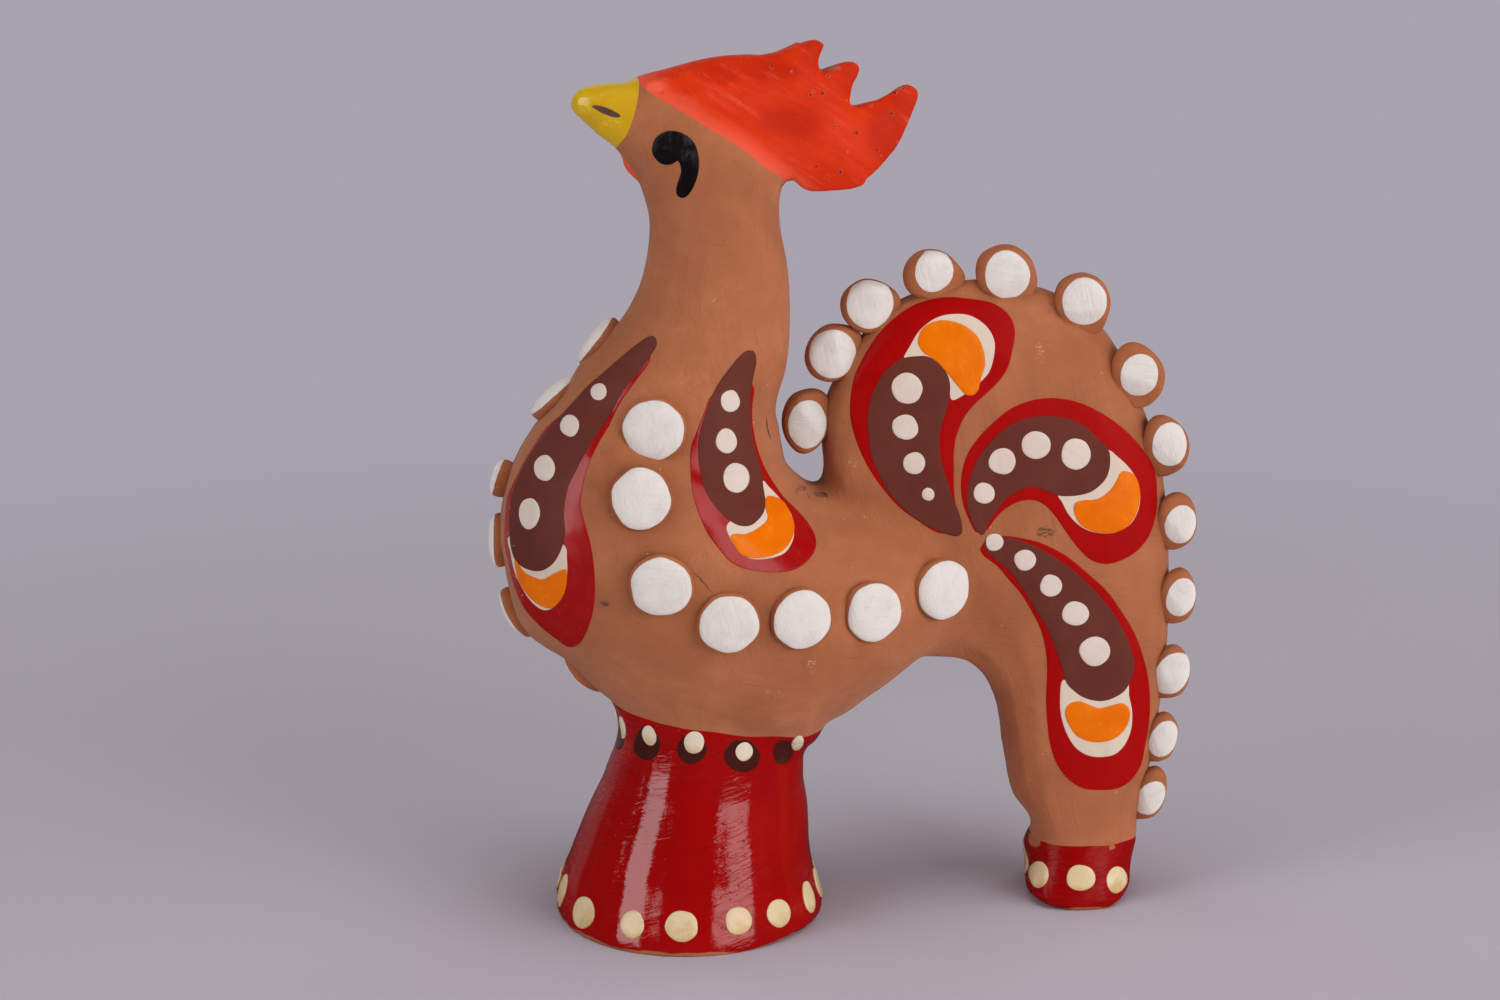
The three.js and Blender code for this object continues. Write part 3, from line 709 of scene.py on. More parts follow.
@dataclass
class Viewpoint:
    """The place from which the figure is seen, and the rays that leave it.

    Attributes:
        stem: The x of the stem's axis.
        azimuth: Degrees round from the front, towards the tail.
        elevation: Degrees above the horizon.
        distance: Metres from the point that it looks at.
        lens: Focal length in millimetres.
        sensor: Width of the sensor in millimetres.
        aim: The point that it looks at, from the stem's axis.
        picture: Width and height of the picture.
    """

    stem: float
    azimuth: float = -8.0
    elevation: float = 13.0
    distance: float = 0.6375
    lens: float = 85.0
    sensor: float = 36.0
    aim: Colour = (0.010988, 0.0, 0.076304)
    picture: tuple[int, int] = (1500, 1000)

    def axes(self) -> tuple[Vector, Vector, Vector]:
        """Returns the picture's right, its up and the way back to the viewer."""
        a = math.radians(self.azimuth)
        back = outward(self.azimuth, self.elevation)
        right = Vector((math.cos(a), math.sin(a), 0.0))
        return right, back.cross(right), back

    def eye(self) -> Vector:
        """Returns the viewer's place."""
        return Vector(self.aim) + Vector((self.stem, 0, 0)) + self.axes()[2] * self.distance

    def ray(self, spot: Spot) -> tuple[Vector, Vector]:
        """Returns where a ray through a spot of the picture starts, and its way."""
        right, up, back = self.axes()
        reach = self.lens / self.sensor * self.picture[0]
        way = right * (spot[0] - self.picture[0] / 2) - up * (spot[1] - self.picture[1] / 2)
        return self.eye(), (way / reach - back).normalized()

    def scale(self) -> float:
        """Returns the millimetres that one unit of the picture spans at the figure."""
        return self.distance / MM * self.sensor / (self.lens * self.picture[0])

    def upright(self, spot: Spot) -> Vector:
        """Returns where a spot's ray meets the figure's upright middle plane."""
        start, way = self.ray(spot)
        return start + way * (-start.y / way.y)

    def spots(self, points: Array) -> Array:
        """Returns where points are seen in the picture."""
        right, up, back = (np.array(axis) for axis in self.axes())
        to = points - np.array(self.eye())
        reach = self.lens / self.sensor * self.picture[0] / -(to @ back)
        middle = np.array(self.picture) / 2
        return middle + np.stack([to @ right * reach, -(to @ up) * reach], 1)

    def pushed(self, points: Array, pushes: Sequence[Push]) -> Array:
        """Moves points as small pushes do.

        Args:
            points: The points.
            pushes: The pushes, as the picture shows them.

        Returns:
            The moved points.
        """
        seen = self.spots(points)
        unit = self.scale() * MM
        wide, tall = (math.cos(math.radians(a)) for a in (self.azimuth, self.elevation))
        move = np.zeros_like(points)
        for push in pushes:
            share = np.exp(-((seen - np.array(push.at)) ** 2).sum(1) / push.reach**2)
            move[:, 0] += share * push.by[0] * unit / wide
            move[:, 2] -= share * push.by[1] * unit / tall
        return points + move

    def camera(self) -> None:
        """Makes the camera."""
        data = bpy.data.cameras.new("viewpoint")
        data.lens = self.lens
        data.sensor_width = self.sensor
        data.sensor_fit = "HORIZONTAL"
        data.clip_start = 0.01
        data.clip_end = 50.0
        camera = linked("viewpoint", data)
        camera.location = self.eye()
        camera.rotation_euler = (-self.axes()[2]).to_track_quat("-Z", "Y").to_euler()
        bpy.context.scene.camera = camera


# Outlines.


def closed_line(points: Sequence[Spot], step: float) -> list[Spot]:
    """Draws a smooth closed line through given points.

    Args:
        points: The points.
        step: Distance between the line's own points.

    Returns:
        Evenly spaced points of the line.
    """
    p = np.array(points, float)
    before, after, beyond = np.roll(p, 1, 0), np.roll(p, -1, 0), np.roll(p, -2, 0)
    t = np.linspace(0, 1, 24, endpoint=False)[None, :, None]
    a, b, c, d = before[:, None], p[:, None], after[:, None], beyond[:, None]
    curve = 0.5 * (2 * b + (c - a) * t + (2 * a - 5 * b + 4 * c - d) * t**2 + (3 * b - a - 3 * c + d) * t**3)
    curve = curve.reshape(-1, 2)
    gaps = np.linalg.norm(np.roll(curve, -1, 0) - curve, axis=1)
    run = np.concatenate([[0], np.cumsum(gaps)])
    count = max(int(run[-1] / step), 8)
    at = np.linspace(0, run[-1], count, endpoint=False)
    loop = np.concatenate([curve, curve[:1]])
    return [(float(np.interp(s, run, loop[:, 0])), float(np.interp(s, run, loop[:, 1]))) for s in at]


def away_from(spots: Array, line: Array) -> Array:
    """Returns how far spots lie from a closed line."""
    start, run = line[None], (np.roll(line, -1, 0) - line)[None]
    to = spots[:, None] - start
    share = np.clip((to * run).sum(2) / np.maximum((run * run).sum(2), 1e-12), 0, 1)
    return np.linalg.norm(to - share[..., None] * run, axis=2).min(1)


def within(spots: Array, line: Array) -> Array:
    """Returns which spots lie inside a closed line."""
    a, b = line[None], np.roll(line, -1, 0)[None]
    x, y = spots[:, None, 0], spots[:, None, 1]
    spans = (a[..., 1] > y) != (b[..., 1] > y)
    rise = np.where(b[..., 1] == a[..., 1], 1e-12, b[..., 1] - a[..., 1])
    crossing = a[..., 0] + (y - a[..., 1]) / rise * (b[..., 0] - a[..., 0])
    return ((spans & (x < crossing)).sum(1) % 2) == 1


def inward_of(line: Array) -> Array:
    """Returns the way into a closed line at each of its points."""
    way = np.roll(line, -1, 0) - np.roll(line, 1, 0)
    inward = np.stack([-way[:, 1], way[:, 0]], 1) / np.linalg.norm(way, axis=1)[:, None]
    after = np.roll(line, -1, 0)
    turn = (line[:, 0] * after[:, 1] - line[:, 1] * after[:, 0]).sum()
    return inward if turn > 0 else -inward


@dataclass(frozen=True)
class Cutter:
    """Cuts flat blanks out along given outlines.

    Attributes:
        rim_step: Spacing of the outline's points in millimetres.
        face_step: Spacing of the points within.
        rings: Depths of the rows of points along the edge.
    """

    rim_step: float = 0.36
    face_step: float = 0.75
    rings: Spot = (0.12, 0.3)

    def blank(self, outline: Sequence[Spot], unit: float) -> tuple[Draft, Array]:
        """Cuts one blank.

        Args:
            outline: Points of the outline.
            unit: Millimetres in one unit of the outline.

        Returns:
            The blank, finely divided, and the distance of its points from the outline in millimetres.
        """
        size = float(np.ptp(np.array(outline), 0).min()) * unit
        fine = min(1.0, max(0.35, size / 3.0))
        line = np.array(closed_line(outline, self.rim_step * fine / unit))
        inward = inward_of(line)
        rows = [line]
        for depth in self.rings:
            ring = line + inward * depth * fine / unit
            kept = within(ring, line) & (away_from(ring, line) > 0.85 * depth * fine / unit)
            rows.append(ring[kept])
        step = self.face_step * fine / unit
        low, high = line.min(0), line.max(0)
        grid = np.array([
            (x + (k % 2) * step / 2, y)
            for k, y in enumerate(np.arange(low[1], high[1], step * 0.866))
            for x in np.arange(low[0], high[0], step)
        ])
        clear = self.rings[-1] * fine / unit + 0.45 * step
        rows.append(grid[within(grid, line) & (away_from(grid, line) > clear)])
        spots = [Vector(spot) for spot in np.concatenate(rows)]
        count = len(line)
        rim = [(i, (i + 1) % count) for i in range(count)]
        flat, _, faces, _, _, _ = delaunay_2d_cdt(spots, rim, [], 1, 1e-7)
        bm = bmesh.new()
        verts = [bm.verts.new((v.x, v.y, 0)) for v in flat]
        for face in faces:
            bm.faces.new([verts[i] for i in face])
        loose = [v for v in bm.verts if not v.link_faces]
        bmesh.ops.delete(bm, geom=loose, context="VERTS")
        places = np.array([v.co[:2] for v in bm.verts])
        return bm, away_from(places, line) * unit


# Clay skin.


@dataclass(frozen=True)
class Wear:
    """Marks of making and of use, and a painted highlight at the comb's brow, drawn where the viewpoint
    shows them.

    Attributes:
        view: The viewpoint.
        cracks: How wide each crack gapes, from 0 to 1, and its line.
        stain: Middles and half sizes of dark smudges.
        scuff: The same of pale rubs.
        thin: The same of a pale place at the comb's brow, a painted highlight.
        thick: The same of places where it gathered.
        bare: The same of places that the paint missed.
    """

    view: Viewpoint
    cracks: tuple[tuple[float, tuple[Spot, ...]], ...] = (
        (1.0, ((767, 416), (767, 428), (771, 440))),
        (0.16, ((690, 568), (702, 581), (715, 595))),
        (1.0, ((795, 488), (798, 495))),
        (1.0, ((807, 493), (811, 500))),
        (1.0, ((822, 492), (829, 499))),
    )
    stain: tuple[Area, ...] = (
        (1046, 532, 13, 9), (604, 604, 7, 5), (820, 494, 12, 5), (802, 488, 8, 4), (1003, 545, 7, 4),
    )
    scuff: tuple[Area, ...] = (
        (714, 302, 7, 9), (852, 462, 9, 12), (770, 692, 15, 4), (812, 664, 7, 14), (903, 610, 5, 4),
        (1040, 352, 8, 18), (1090, 612, 4, 7), (884, 640, 7, 4), (655, 348, 5, 4),
    )
    # The pale place at the comb's brow is a painted highlight.
    thin: tuple[Area, ...] = ((653, 88, 13, 8),)
    thick: tuple[Area, ...] = (
        (722, 74, 22, 11), (768, 70, 40, 11), (813, 55, 14, 14), (852, 76, 12, 12), (886, 134, 20, 28),
        (904, 104, 14, 22), (790, 122, 34, 14),
    )
    bare: tuple[Area, ...] = (
        (1034, 840, 6, 8), (1112.5, 847, 4.5, 3), (831, 67.5, 13, 3), (866, 102, 15, 3), (897, 88, 9, 2.5),
    )

    def touch(self, tree: BVHTree, spot: Spot) -> Array | None:
        """Returns where a spot's ray meets the skin."""
        hit = tree.ray_cast(*self.view.ray(spot))[0]
        return None if hit is None else np.array(hit)

    def spread(self, points: Array, tree: BVHTree, areas: Sequence[Area]) -> Array:
        """Returns how strongly areas cover points: 1 in the middle, 0.5 along the edge, 0 beyond."""
        right, up, _ = (np.array(axis) for axis in self.view.axes())
        unit = self.view.scale() * MM
        share = np.zeros(len(points))
        for u, v, wide, tall in areas:
            middle = self.touch(tree, (u, v))
            if middle is None:
                continue
            to = points - middle
            far = np.hypot(to @ right / (wide * unit), to @ up / (tall * unit))
            near = np.linalg.norm(to, axis=1) < 2.5 * max(wide, tall) * unit
            share = np.maximum(share, np.where(near, np.clip(1.5 - far, 0, 1), 0))
        return share

    def split(self, points: Array, normals: Array, tree: BVHTree) -> tuple[Array, Array]:
        """Measures points against the cracks.

        Args:
            points: The skin's points.
            normals: Their normals.
            tree: The skin.

        Returns:
            How far points lie across the nearest crack, and how far within its ends, in millimetres.
        """
        across, inside = np.full(len(points), 9.0), np.full(len(points), -9.0)
        nearest = np.full(len(points), 3.0)
        for gape, line in self.cracks:
            hits = [self.touch(tree, spot) for spot in line]
            if any(hit is None for hit in hits):
                continue
            legs = [np.linalg.norm(b - a) / MM for a, b in zip(hits, hits[1:])]
            for k, (a, b) in enumerate(zip(hits, hits[1:])):
                way = (b - a) / np.linalg.norm(b - a)
                run = (points - a) @ way / MM
                held = np.clip(run, -3 if k == 0 else 0, legs[k] + (3 if k == len(legs) - 1 else 0))
                far = np.linalg.norm(points - a - np.outer(held * MM, way), axis=1) / MM
                side = ((points - a) * np.cross(way, normals)).sum(1) / MM
                along = sum(legs[:k]) + held
                better = far < nearest
                nearest = np.where(better, far, nearest)
                across = np.where(better, side, across)
                inside = np.where(better, gape * np.minimum(along, sum(legs) - along), inside)
        return across, inside

    def mark(self, bm: Draft, tree: BVHTree) -> None:
        """Gives the skin's points the numbers that its finishes draw the marks from."""
        points = np.array([v.co for v in bm.verts])
        normals = np.array([v.normal for v in bm.verts])
        across, inside = self.split(points, normals, tree)
        numbers = {"crack_across": across, "crack_inside": inside}
        for name in ("stain", "scuff", "thin", "thick", "bare"):
            numbers[name] = self.spread(points, tree, getattr(self, name))
        for name, values in numbers.items():
            layer = bm.verts.layers.float.new(name)
            for v, value in zip(bm.verts, values):
                v[layer] = value


class Zone(Enum):
    """A zone of the skin: its piece's name, the solid that it stands for and its slot."""

    BODY = ("clay_body", "body", "clay")
    NECK = ("clay_neck_and_head", "neck_and_head", "clay")
    TAIL = ("clay_tail", "tail", "clay")
    COMB = ("scarlet_comb", "comb", "comb_red")
    BEAK = ("yellow_beak", "beak", "beak_yellow")
    WATTLE = ("scarlet_wattle", "wattle", "comb_red")
    PEDESTAL = ("lacquered_pedestal", "pedestal", "pedestal_red")
    FOOT = ("lacquered_tail_foot", "tail_foot", "pedestal_red")

    def __init__(self, piece: str, node: str, slot: str) -> None:
        """Names what a zone's row holds."""
        self.piece, self.node, self.slot = piece, node, slot


def from_stem(p: Vector, stem: float) -> Vector:
    """Returns a point in millimetres from the stem's axis, whose x is given."""
    return Vector((p.x - stem, p.y, p.z)) / MM


@dataclass(frozen=True)
class CombPlate:
    """The comb's plate with its teeth; places are from the stem's axis, in millimetres.

    Attributes:
        view: The viewpoint.
        stem: The x of the stem's axis.
        line: Outline of the plate and its teeth, as the viewpoint shows it.
        cut: Where the plate takes over from the solid: a point and the way out.
        thick: Half the comb's thickness at one place of its saddle.
        at: That place.
        taper: What the comb loses of it along x and z.
        thins: Share of its thickness that the plate loses towards its teeth.
        edge: Radius of the plate's edge.
    """

    view: Viewpoint
    stem: float
    line: tuple[Spot, ...] = (
        (793, 60), (796, 47), (803, 42.5), (809, 40.2), (816.4, 39.6), (821.6, 42), (823.2, 46), (820.3, 51),
        (817.6, 58), (817.2, 65), (819, 69.8), (823.4, 68.6), (829.6, 66.3), (838.8, 62.8), (846.6, 60.6),
        (855, 60.9), (859.5, 64.8), (859.7, 69.4), (857.2, 77.9), (853.5, 82.6), (851.2, 90.3), (849.6, 98),
        (850.2, 104.4), (855.8, 103.8), (866.6, 100.8), (877.5, 97.7), (888.3, 91.8), (899.1, 84.4),
        (907.6, 82.5), (914.6, 85.6), (918.9, 91.8), (917.7, 101.1), (912.2, 115), (905.3, 130.5),
        (896, 147.5), (882.1, 162.9), (868, 176.5), (858.5, 182.5), (849, 185.8), (842, 187), (836, 178),
        (828, 150), (812, 110), (799, 78),
    )
    cut: tuple[Spot, Spot] = ((19.6, 158.2), (0.908, 0.417))
    thick: float = 5.3
    at: Spot = (8.0, 146.0)
    taper: Spot = (0.075, 0.1)
    thins: float = 0.35
    edge: float = 1.2

    def half(self, x: float | Array, z: float | Array) -> float | Array:
        """Returns half the comb's thickness at a place from the stem's axis, in millimetres."""
        across, up = self.taper
        return self.thick - across * (x - self.at[0]) - up * (z - self.at[1])

    def beyond(self, x: float, z: float) -> float:
        """Returns how far a point lies beyond the cut of the comb, in millimetres from the stem."""
        (px, pz), (nx, nz) = self.cut
        return (x - px) * nx + (z - pz) * nz

    def draft(self) -> Draft:
        """Returns the plate, which thins out towards its teeth."""
        line = np.array(closed_line(self.line, 2.0))
        line += inward_of(line) * (1.0, 1.9)
        outline = [from_stem(self.view.upright(tuple(spot)), self.stem) for spot in line]
        flat, away = Cutter().blank([(p.x, p.z) for p in outline], 1.0)
        bm = bmesh.new()
        near, far = {}, {}
        for v, d in zip(flat.verts, away):
            x, z = v.co.x, v.co.y
            half = self.half(x, z)
            half *= 1 - self.thins * smoothstep(0.0, 12.0, self.beyond(x, z))
            half *= math.sqrt(1 - (1 - min(d / self.edge, 1.0)) ** 2)
            near[v] = bm.verts.new((self.stem + x * MM, -half * MM, z * MM))
            far[v] = bm.verts.new((self.stem + x * MM, half * MM, z * MM)) if d > 1e-4 else near[v]
        for f in flat.faces:
            bm.faces.new([near[v] for v in f.verts])
            bm.faces.new([far[v] for v in reversed(f.verts)])
        flat.free()
        bmesh.ops.recalc_face_normals(bm, faces=bm.faces[:])
        return bm


@dataclass(frozen=True)
class Borders:
    """The borders of the paint on the clay, from the stem's axis, in millimetres.

    Attributes:
        stem: The x of the stem's axis, in metres.
        brow: Front end of the comb's paint.
        crown_out: The way out of the crown, across that paint's border.
        crown_bow: How far that border bows up in its middle.
        crown_run: Its length.
        beak_middle: Middle of the beak's root.
        beak_out: The way out of the face.
        beak_half: Half the height of that root.
        beak_bulge: How far the yellow bulges onto the cheek.
        collar: Height of the red's upper border at the stem.
        collar_rise: Its rise along x.
        sole: Height of the red on the tail's foot.
        ridge: How far the red reaches beyond the wattle.
    """

    stem: float
    brow: Spot = (-8.6, 151.2)
    crown_out: Spot = (0.586, 0.81)
    crown_bow: float = 1.45
    crown_run: float = 42.0
    beak_middle: Spot = (-11.3, 145.75)
    beak_out: Spot = (-0.944, 0.33)
    beak_half: float = 5.75
    beak_bulge: float = 0.9
    collar: float = 38.6
    collar_rise: float = -0.135
    sole: float = 11.2
    ridge: float = 0.45

    def waver(self, p: Vector, size: float = 0.25) -> float:
        """Returns how far a hand-drawn border strays at a point, in millimetres."""
        return noise.noise(p / 5.5 + Vector((3, 11, 19))) * size

    def comb(self, v: Vector) -> float:
        """Returns how far a point lies inside the comb's paint, in millimetres."""
        p = from_stem(v, self.stem)
        dx, dz = p.x - self.brow[0], p.z - self.brow[1]
        out = dx * self.crown_out[0] + dz * self.crown_out[1]
        along = dx * self.crown_out[1] - dz * self.crown_out[0]
        run = min(max(along / self.crown_run, 0.06), 1.0)
        return out - self.crown_bow * math.sin(math.pi * run) + self.waver(p)

    def beak(self, v: Vector) -> float:
        """Returns how far a point lies inside the beak's paint, in millimetres."""
        p = from_stem(v, self.stem)
        dx, dz = p.x - self.beak_middle[0], p.z - self.beak_middle[1]
        along = -dx * self.beak_out[1] + dz * -self.beak_out[0]
        bulge = self.beak_bulge * (1 - (along / self.beak_half) ** 2) - 0.1 * smoothstep(-2.0, -6.0, along)
        return dx * self.beak_out[0] + dz * self.beak_out[1] + bulge + self.waver(p, 0.15)

    def pedestal(self, v: Vector) -> float:
        """Returns how far a point lies below the lacquer's upper border, in millimetres."""
        p = from_stem(v, self.stem)
        return self.collar + self.collar_rise * p.x - p.z + self.waver(p, 0.4)

    def wattle(self, tree: BVHTree) -> Callable[[Vector], float]:
        """Returns the field of the red that was brushed over the wattle's ridge."""

        def inside(p: Vector) -> float:
            """Returns how far a point lies inside that red, in millimetres."""
            return self.ridge - tree.find_nearest(p)[3] / MM + self.waver(from_stem(p, self.stem), 0.1)

        return inside

    def foot(self, v: Vector) -> float:
        """Returns how far a point lies below the foot's border, in millimetres."""
        p = from_stem(v, self.stem)
        return self.sole - p.z + self.waver(p, 0.3)


@dataclass
class ClaySkin:
    """The lumps of clay kneaded into one skin, then cut along the borders of the paint.

    Attributes:
        view: The viewpoint.
        stem: The x of the stem's axis.
        plate: The comb's plate.
        borders: The borders of the paint.
        voxel: Size of the skin's squares.
        swell: Growth of each lump, which closes the layer of slip.
        rounds: Passes that smooth the facets of the solids.
        steps: How far each of those goes in, and back out.
        smear: Reach of the smoothing where lumps are luted together.
        smear_rounds: Passes of that smoothing.
        crown_rounds: Passes that blend the comb's flanks into the head.
        crown_from: Height above which they do.
        freedom: How freely a lump's points move in the first passes, below 1.
        reaches: Least and greatest z, then x from the stem, of what a zone is cut from.
        coated: The zones whose coat shows an edge.
        saddle_bow: Fall of the saddle's top towards its edges.
        saddle_depth: How deep that reaches.
        foot_from: Where the tail's foot begins, from the stem.
        foot_round: Radius of its lower edge.
        foot_half: Half its length.
        foot_deep: Share that it is deepened by at the floor.
        stem_deep: The same of the pedestal, and how much less at its right.
        stem_half: Half the pedestal's length at the floor.
        deep_below: Height below which both are deepened.
        rim_lift: Lift of the pedestal's rim at its front right.
        rim_high: Height below which it is lifted.
        rim_side: Where that is round the stem, and its reach, in radians.
        dents: Size and depth of the dents that fingers leave, and where in the noise they lie.
        coat: Thickness of the paint.
        near: How near the skin's points lie to each solid, once it is kneaded.
        mesh: The whole skin.
        tree: The same, cut and painted, which rays meet.
    """

    view: Viewpoint
    stem: float
    plate: CombPlate
    borders: Borders
    voxel: float = 0.0006
    swell: float = 0.00022
    rounds: int = 36
    steps: Spot = (0.5, -0.53)
    smear: float = 0.0042
    smear_rounds: int = 60
    crown_rounds: int = 140
    crown_from: float = 0.126
    freedom: dict[Zone, float] = field(default_factory=lambda: {
        Zone.COMB: 0.25, Zone.BEAK: 0.5, Zone.WATTLE: 0.2, Zone.FOOT: 0.6, Zone.PEDESTAL: 0.8,
    })
    reaches: dict[Zone, Area] = field(default_factory=lambda: {
        Zone.NECK: (0.05, 1.0, -1.0, 1.0), Zone.TAIL: (-1.0, 1.0, 0.02, 1.0),
        Zone.COMB: (0.12, 1.0, -1.0, 1.0), Zone.BEAK: (0.13, 1.0, -1.0, -0.004),
        Zone.WATTLE: (0.12, 1.0, -1.0, -0.002), Zone.PEDESTAL: (-1.0, 0.046, -1.0, 0.032),
        Zone.FOOT: (-1.0, 0.03, 0.045, 1.0),
    })
    coated: tuple[Zone, ...] = (Zone.COMB, Zone.BEAK, Zone.PEDESTAL, Zone.FOOT)
    saddle_bow: float = 0.0027
    saddle_depth: float = 0.007
    foot_from: float = 0.045
    foot_round: float = 0.0032
    foot_half: float = 0.0092
    foot_deep: float = 0.26
    stem_deep: Spot = (0.13, 0.08)
    stem_half: float = 0.023
    deep_below: float = 0.011
    rim_lift: float = 0.0008
    rim_high: float = 0.005
    rim_side: Spot = (0.8, 0.45)
    dents: tuple[tuple[float, float, Colour], ...] = (
        (17.0, 0.32, (0, 0, 0)), (7.0, 0.12, (31, 7, 3)), (2.6, 0.03, (5, 17, 41)),
    )
    coat: float = 0.12
    near: dict[Zone, Array] = field(init=False)
    mesh: bpy.types.Mesh = field(init=False)
    tree: BVHTree = field(init=False)

    def lump(self, zone: Zone) -> Draft:
        """Returns a merged copy of a zone's solid."""
        bm = draft_of(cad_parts[zone.node].data)
        bmesh.ops.remove_doubles(bm, verts=bm.verts[:], dist=1e-6)
        bm.normal_update()
        return bm

    def tree_of(self, zone: Zone) -> BVHTree:
        """Returns the tree of a zone's solid, which finds its nearest points."""
        bm = self.lump(zone)
        tree = BVHTree.FromBMesh(bm)
        bm.free()
        return tree

    def lumps(self) -> list[Draft]:
        """Returns the lumps that are kneaded, each swelled over the slip."""
        found = []
        for zone in Zone:
            bm = self.lump(zone)
            for v in bm.verts:
                v.co += v.normal * self.swell
            if zone is Zone.COMB:
                (x, z), (nx, nz) = self.plate.cut
                bmesh.ops.bisect_plane(
                    bm, geom=[*bm.verts, *bm.edges, *bm.faces], clear_outer=True,
                    plane_co=(self.stem + x * MM, 0, z * MM), plane_no=(nx, 0, nz),
                )
                bmesh.ops.holes_fill(bm, edges=[e for e in bm.edges if e.is_boundary])
            found.append(bm)
        return [*found, self.plate.draft()]

    def kneaded(self) -> bpy.types.Mesh:
        """Joins the lumps and returns them as one closed skin."""
        mesh = joined("kneaded", self.lumps())
        obj = linked("kneaded", mesh)
        remesh = obj.modifiers.new("knead", "REMESH")
        remesh.mode = "VOXEL"
        remesh.voxel_size = self.voxel
        graph = bpy.context.evaluated_depsgraph_get()
        skin = bpy.data.meshes.new_from_object(obj.evaluated_get(graph))
        bpy.data.objects.remove(obj)
        bpy.data.meshes.remove(mesh)
        return skin

    def relaxed(self, points: Array, edges: Array, weight: Array, rounds: int,
                steps: tuple[float, ...]) -> Array:
        """Smooths points towards the middle of their neighbours.

        Args:
            points: The points.
            edges: Pairs of neighbours.
            weight: How freely each point moves.
            rounds: Number of passes.
            steps: Shares of the way that each pass moves, one after the other.

        Returns:
            The smoothed points.
        """
        count = len(points)
        a, b = edges[:, 0], edges[:, 1]
        degree = np.bincount(a, minlength=count) + np.bincount(b, minlength=count)
        moved = points.copy()
        for _ in range(rounds):
            for step in steps:
                middle = np.stack([
                    np.bincount(a, moved[b, k], count) + np.bincount(b, moved[a, k], count)
                    for k in range(3)
                ], 1) / np.maximum(degree, 1)[:, None]
                moved += step * weight[:, None] * (middle - moved)
        return moved

    def shape(self) -> None:
        """Kneads and smooths the skin, and keeps it and how near its points lie to each solid."""
        mesh = self.kneaded()
        points = points_of(mesh)
        edges = np.zeros(len(mesh.edges) * 2, np.int64)
        mesh.edges.foreach_get("vertices", edges)
        edges = edges.reshape(-1, 2)
        limit = 2 * self.smear
        self.near = near = {}
        for zone in Zone:
            tree = self.tree_of(zone)
            found = (tree.find_nearest(p, limit)[3] for p in points)
            near[zone] = np.array([limit if d is None else d for d in found])
        zones = list(Zone)
        nearest = np.argmin(np.stack([near[z] for z in zones]), 0)
        weight = np.array([self.freedom.get(zones[k], 1.0) for k in nearest])
        weight = self.relaxed(weight[:, None].repeat(3, 1), edges, np.ones(len(points)), 8, (0.5,))[:, 0]
        points = self.relaxed(points, edges, weight, self.rounds, self.steps)
        luted = [z for z in Zone if z not in (Zone.COMB, Zone.PEDESTAL)]
        second = np.sort(np.stack([near[z] for z in luted]), 0)[1]
        collar = np.maximum(near[Zone.BODY], near[Zone.PEDESTAL])
        t = np.clip(1 - np.minimum(second, collar * 1.8) / self.smear, 0, 1)
        points = self.relaxed(points, edges, eased(t), self.smear_rounds, (0.5,))
        move_points(mesh, points)
        normals = points_of(mesh, "normal")
        blend = np.minimum(near[Zone.COMB], near[Zone.NECK]) < self.smear
        both = np.clip(1.6 - np.maximum(near[Zone.COMB], near[Zone.NECK]) / (2 * self.smear), 0, 1)
        flank = np.clip((np.abs(normals[:, 1]) - 0.45) / 0.35, 0, 1)
        high = np.clip((points[:, 2] - self.crown_from) / 0.006, 0, 1)
        points = self.relaxed(points, edges, blend * both * flank * high, self.crown_rounds, (0.5,))
        points = self.feet(self.domed(points))
        points = self.view.pushed(points, PUSHES)
        move_points(mesh, points)
        rise = np.array([self.handwork(Vector(p) / MM) for p in points]) * MM
        points = points + points_of(mesh, "normal") * rise[:, None]
        points[:, 2] = np.maximum(points[:, 2], 0.0)
        move_points(mesh, points)
        self.mesh = mesh

    def domed(self, points: Array) -> Array:
        """Rounds off the top of the comb's saddle and returns all points."""
        x, y, z = points[:, 0] - self.stem, np.abs(points[:, 1]), points[:, 2]
        column = np.clip((x / MM + 40).astype(int), 0, 99)
        tops = np.zeros(100)
        comb = self.near[Zone.COMB] < 0.0008
        np.maximum.at(tops, column[comb], z[comb])
        known = np.flatnonzero(tops > 0)
        top = np.interp(x / MM + 39.5, known, tops[known])
        half = self.plate.half(x / MM, z / MM) * MM
        bow = 1 - np.sqrt(1 - np.clip(0.97 * y / half, 0, 0.97) ** 2)
        depth = np.clip((top - z) / self.saddle_depth, 0, 1)
        ends = np.clip((x / MM + 9) / 5, 0, 1) * np.clip((20 - x / MM) / 8, 0, 1)
        share = (1 - eased(depth)) * ends * (self.near[Zone.COMB] < 0.004)
        moved = points.copy()
        moved[:, 2] -= self.saddle_bow * bow * share
        return moved

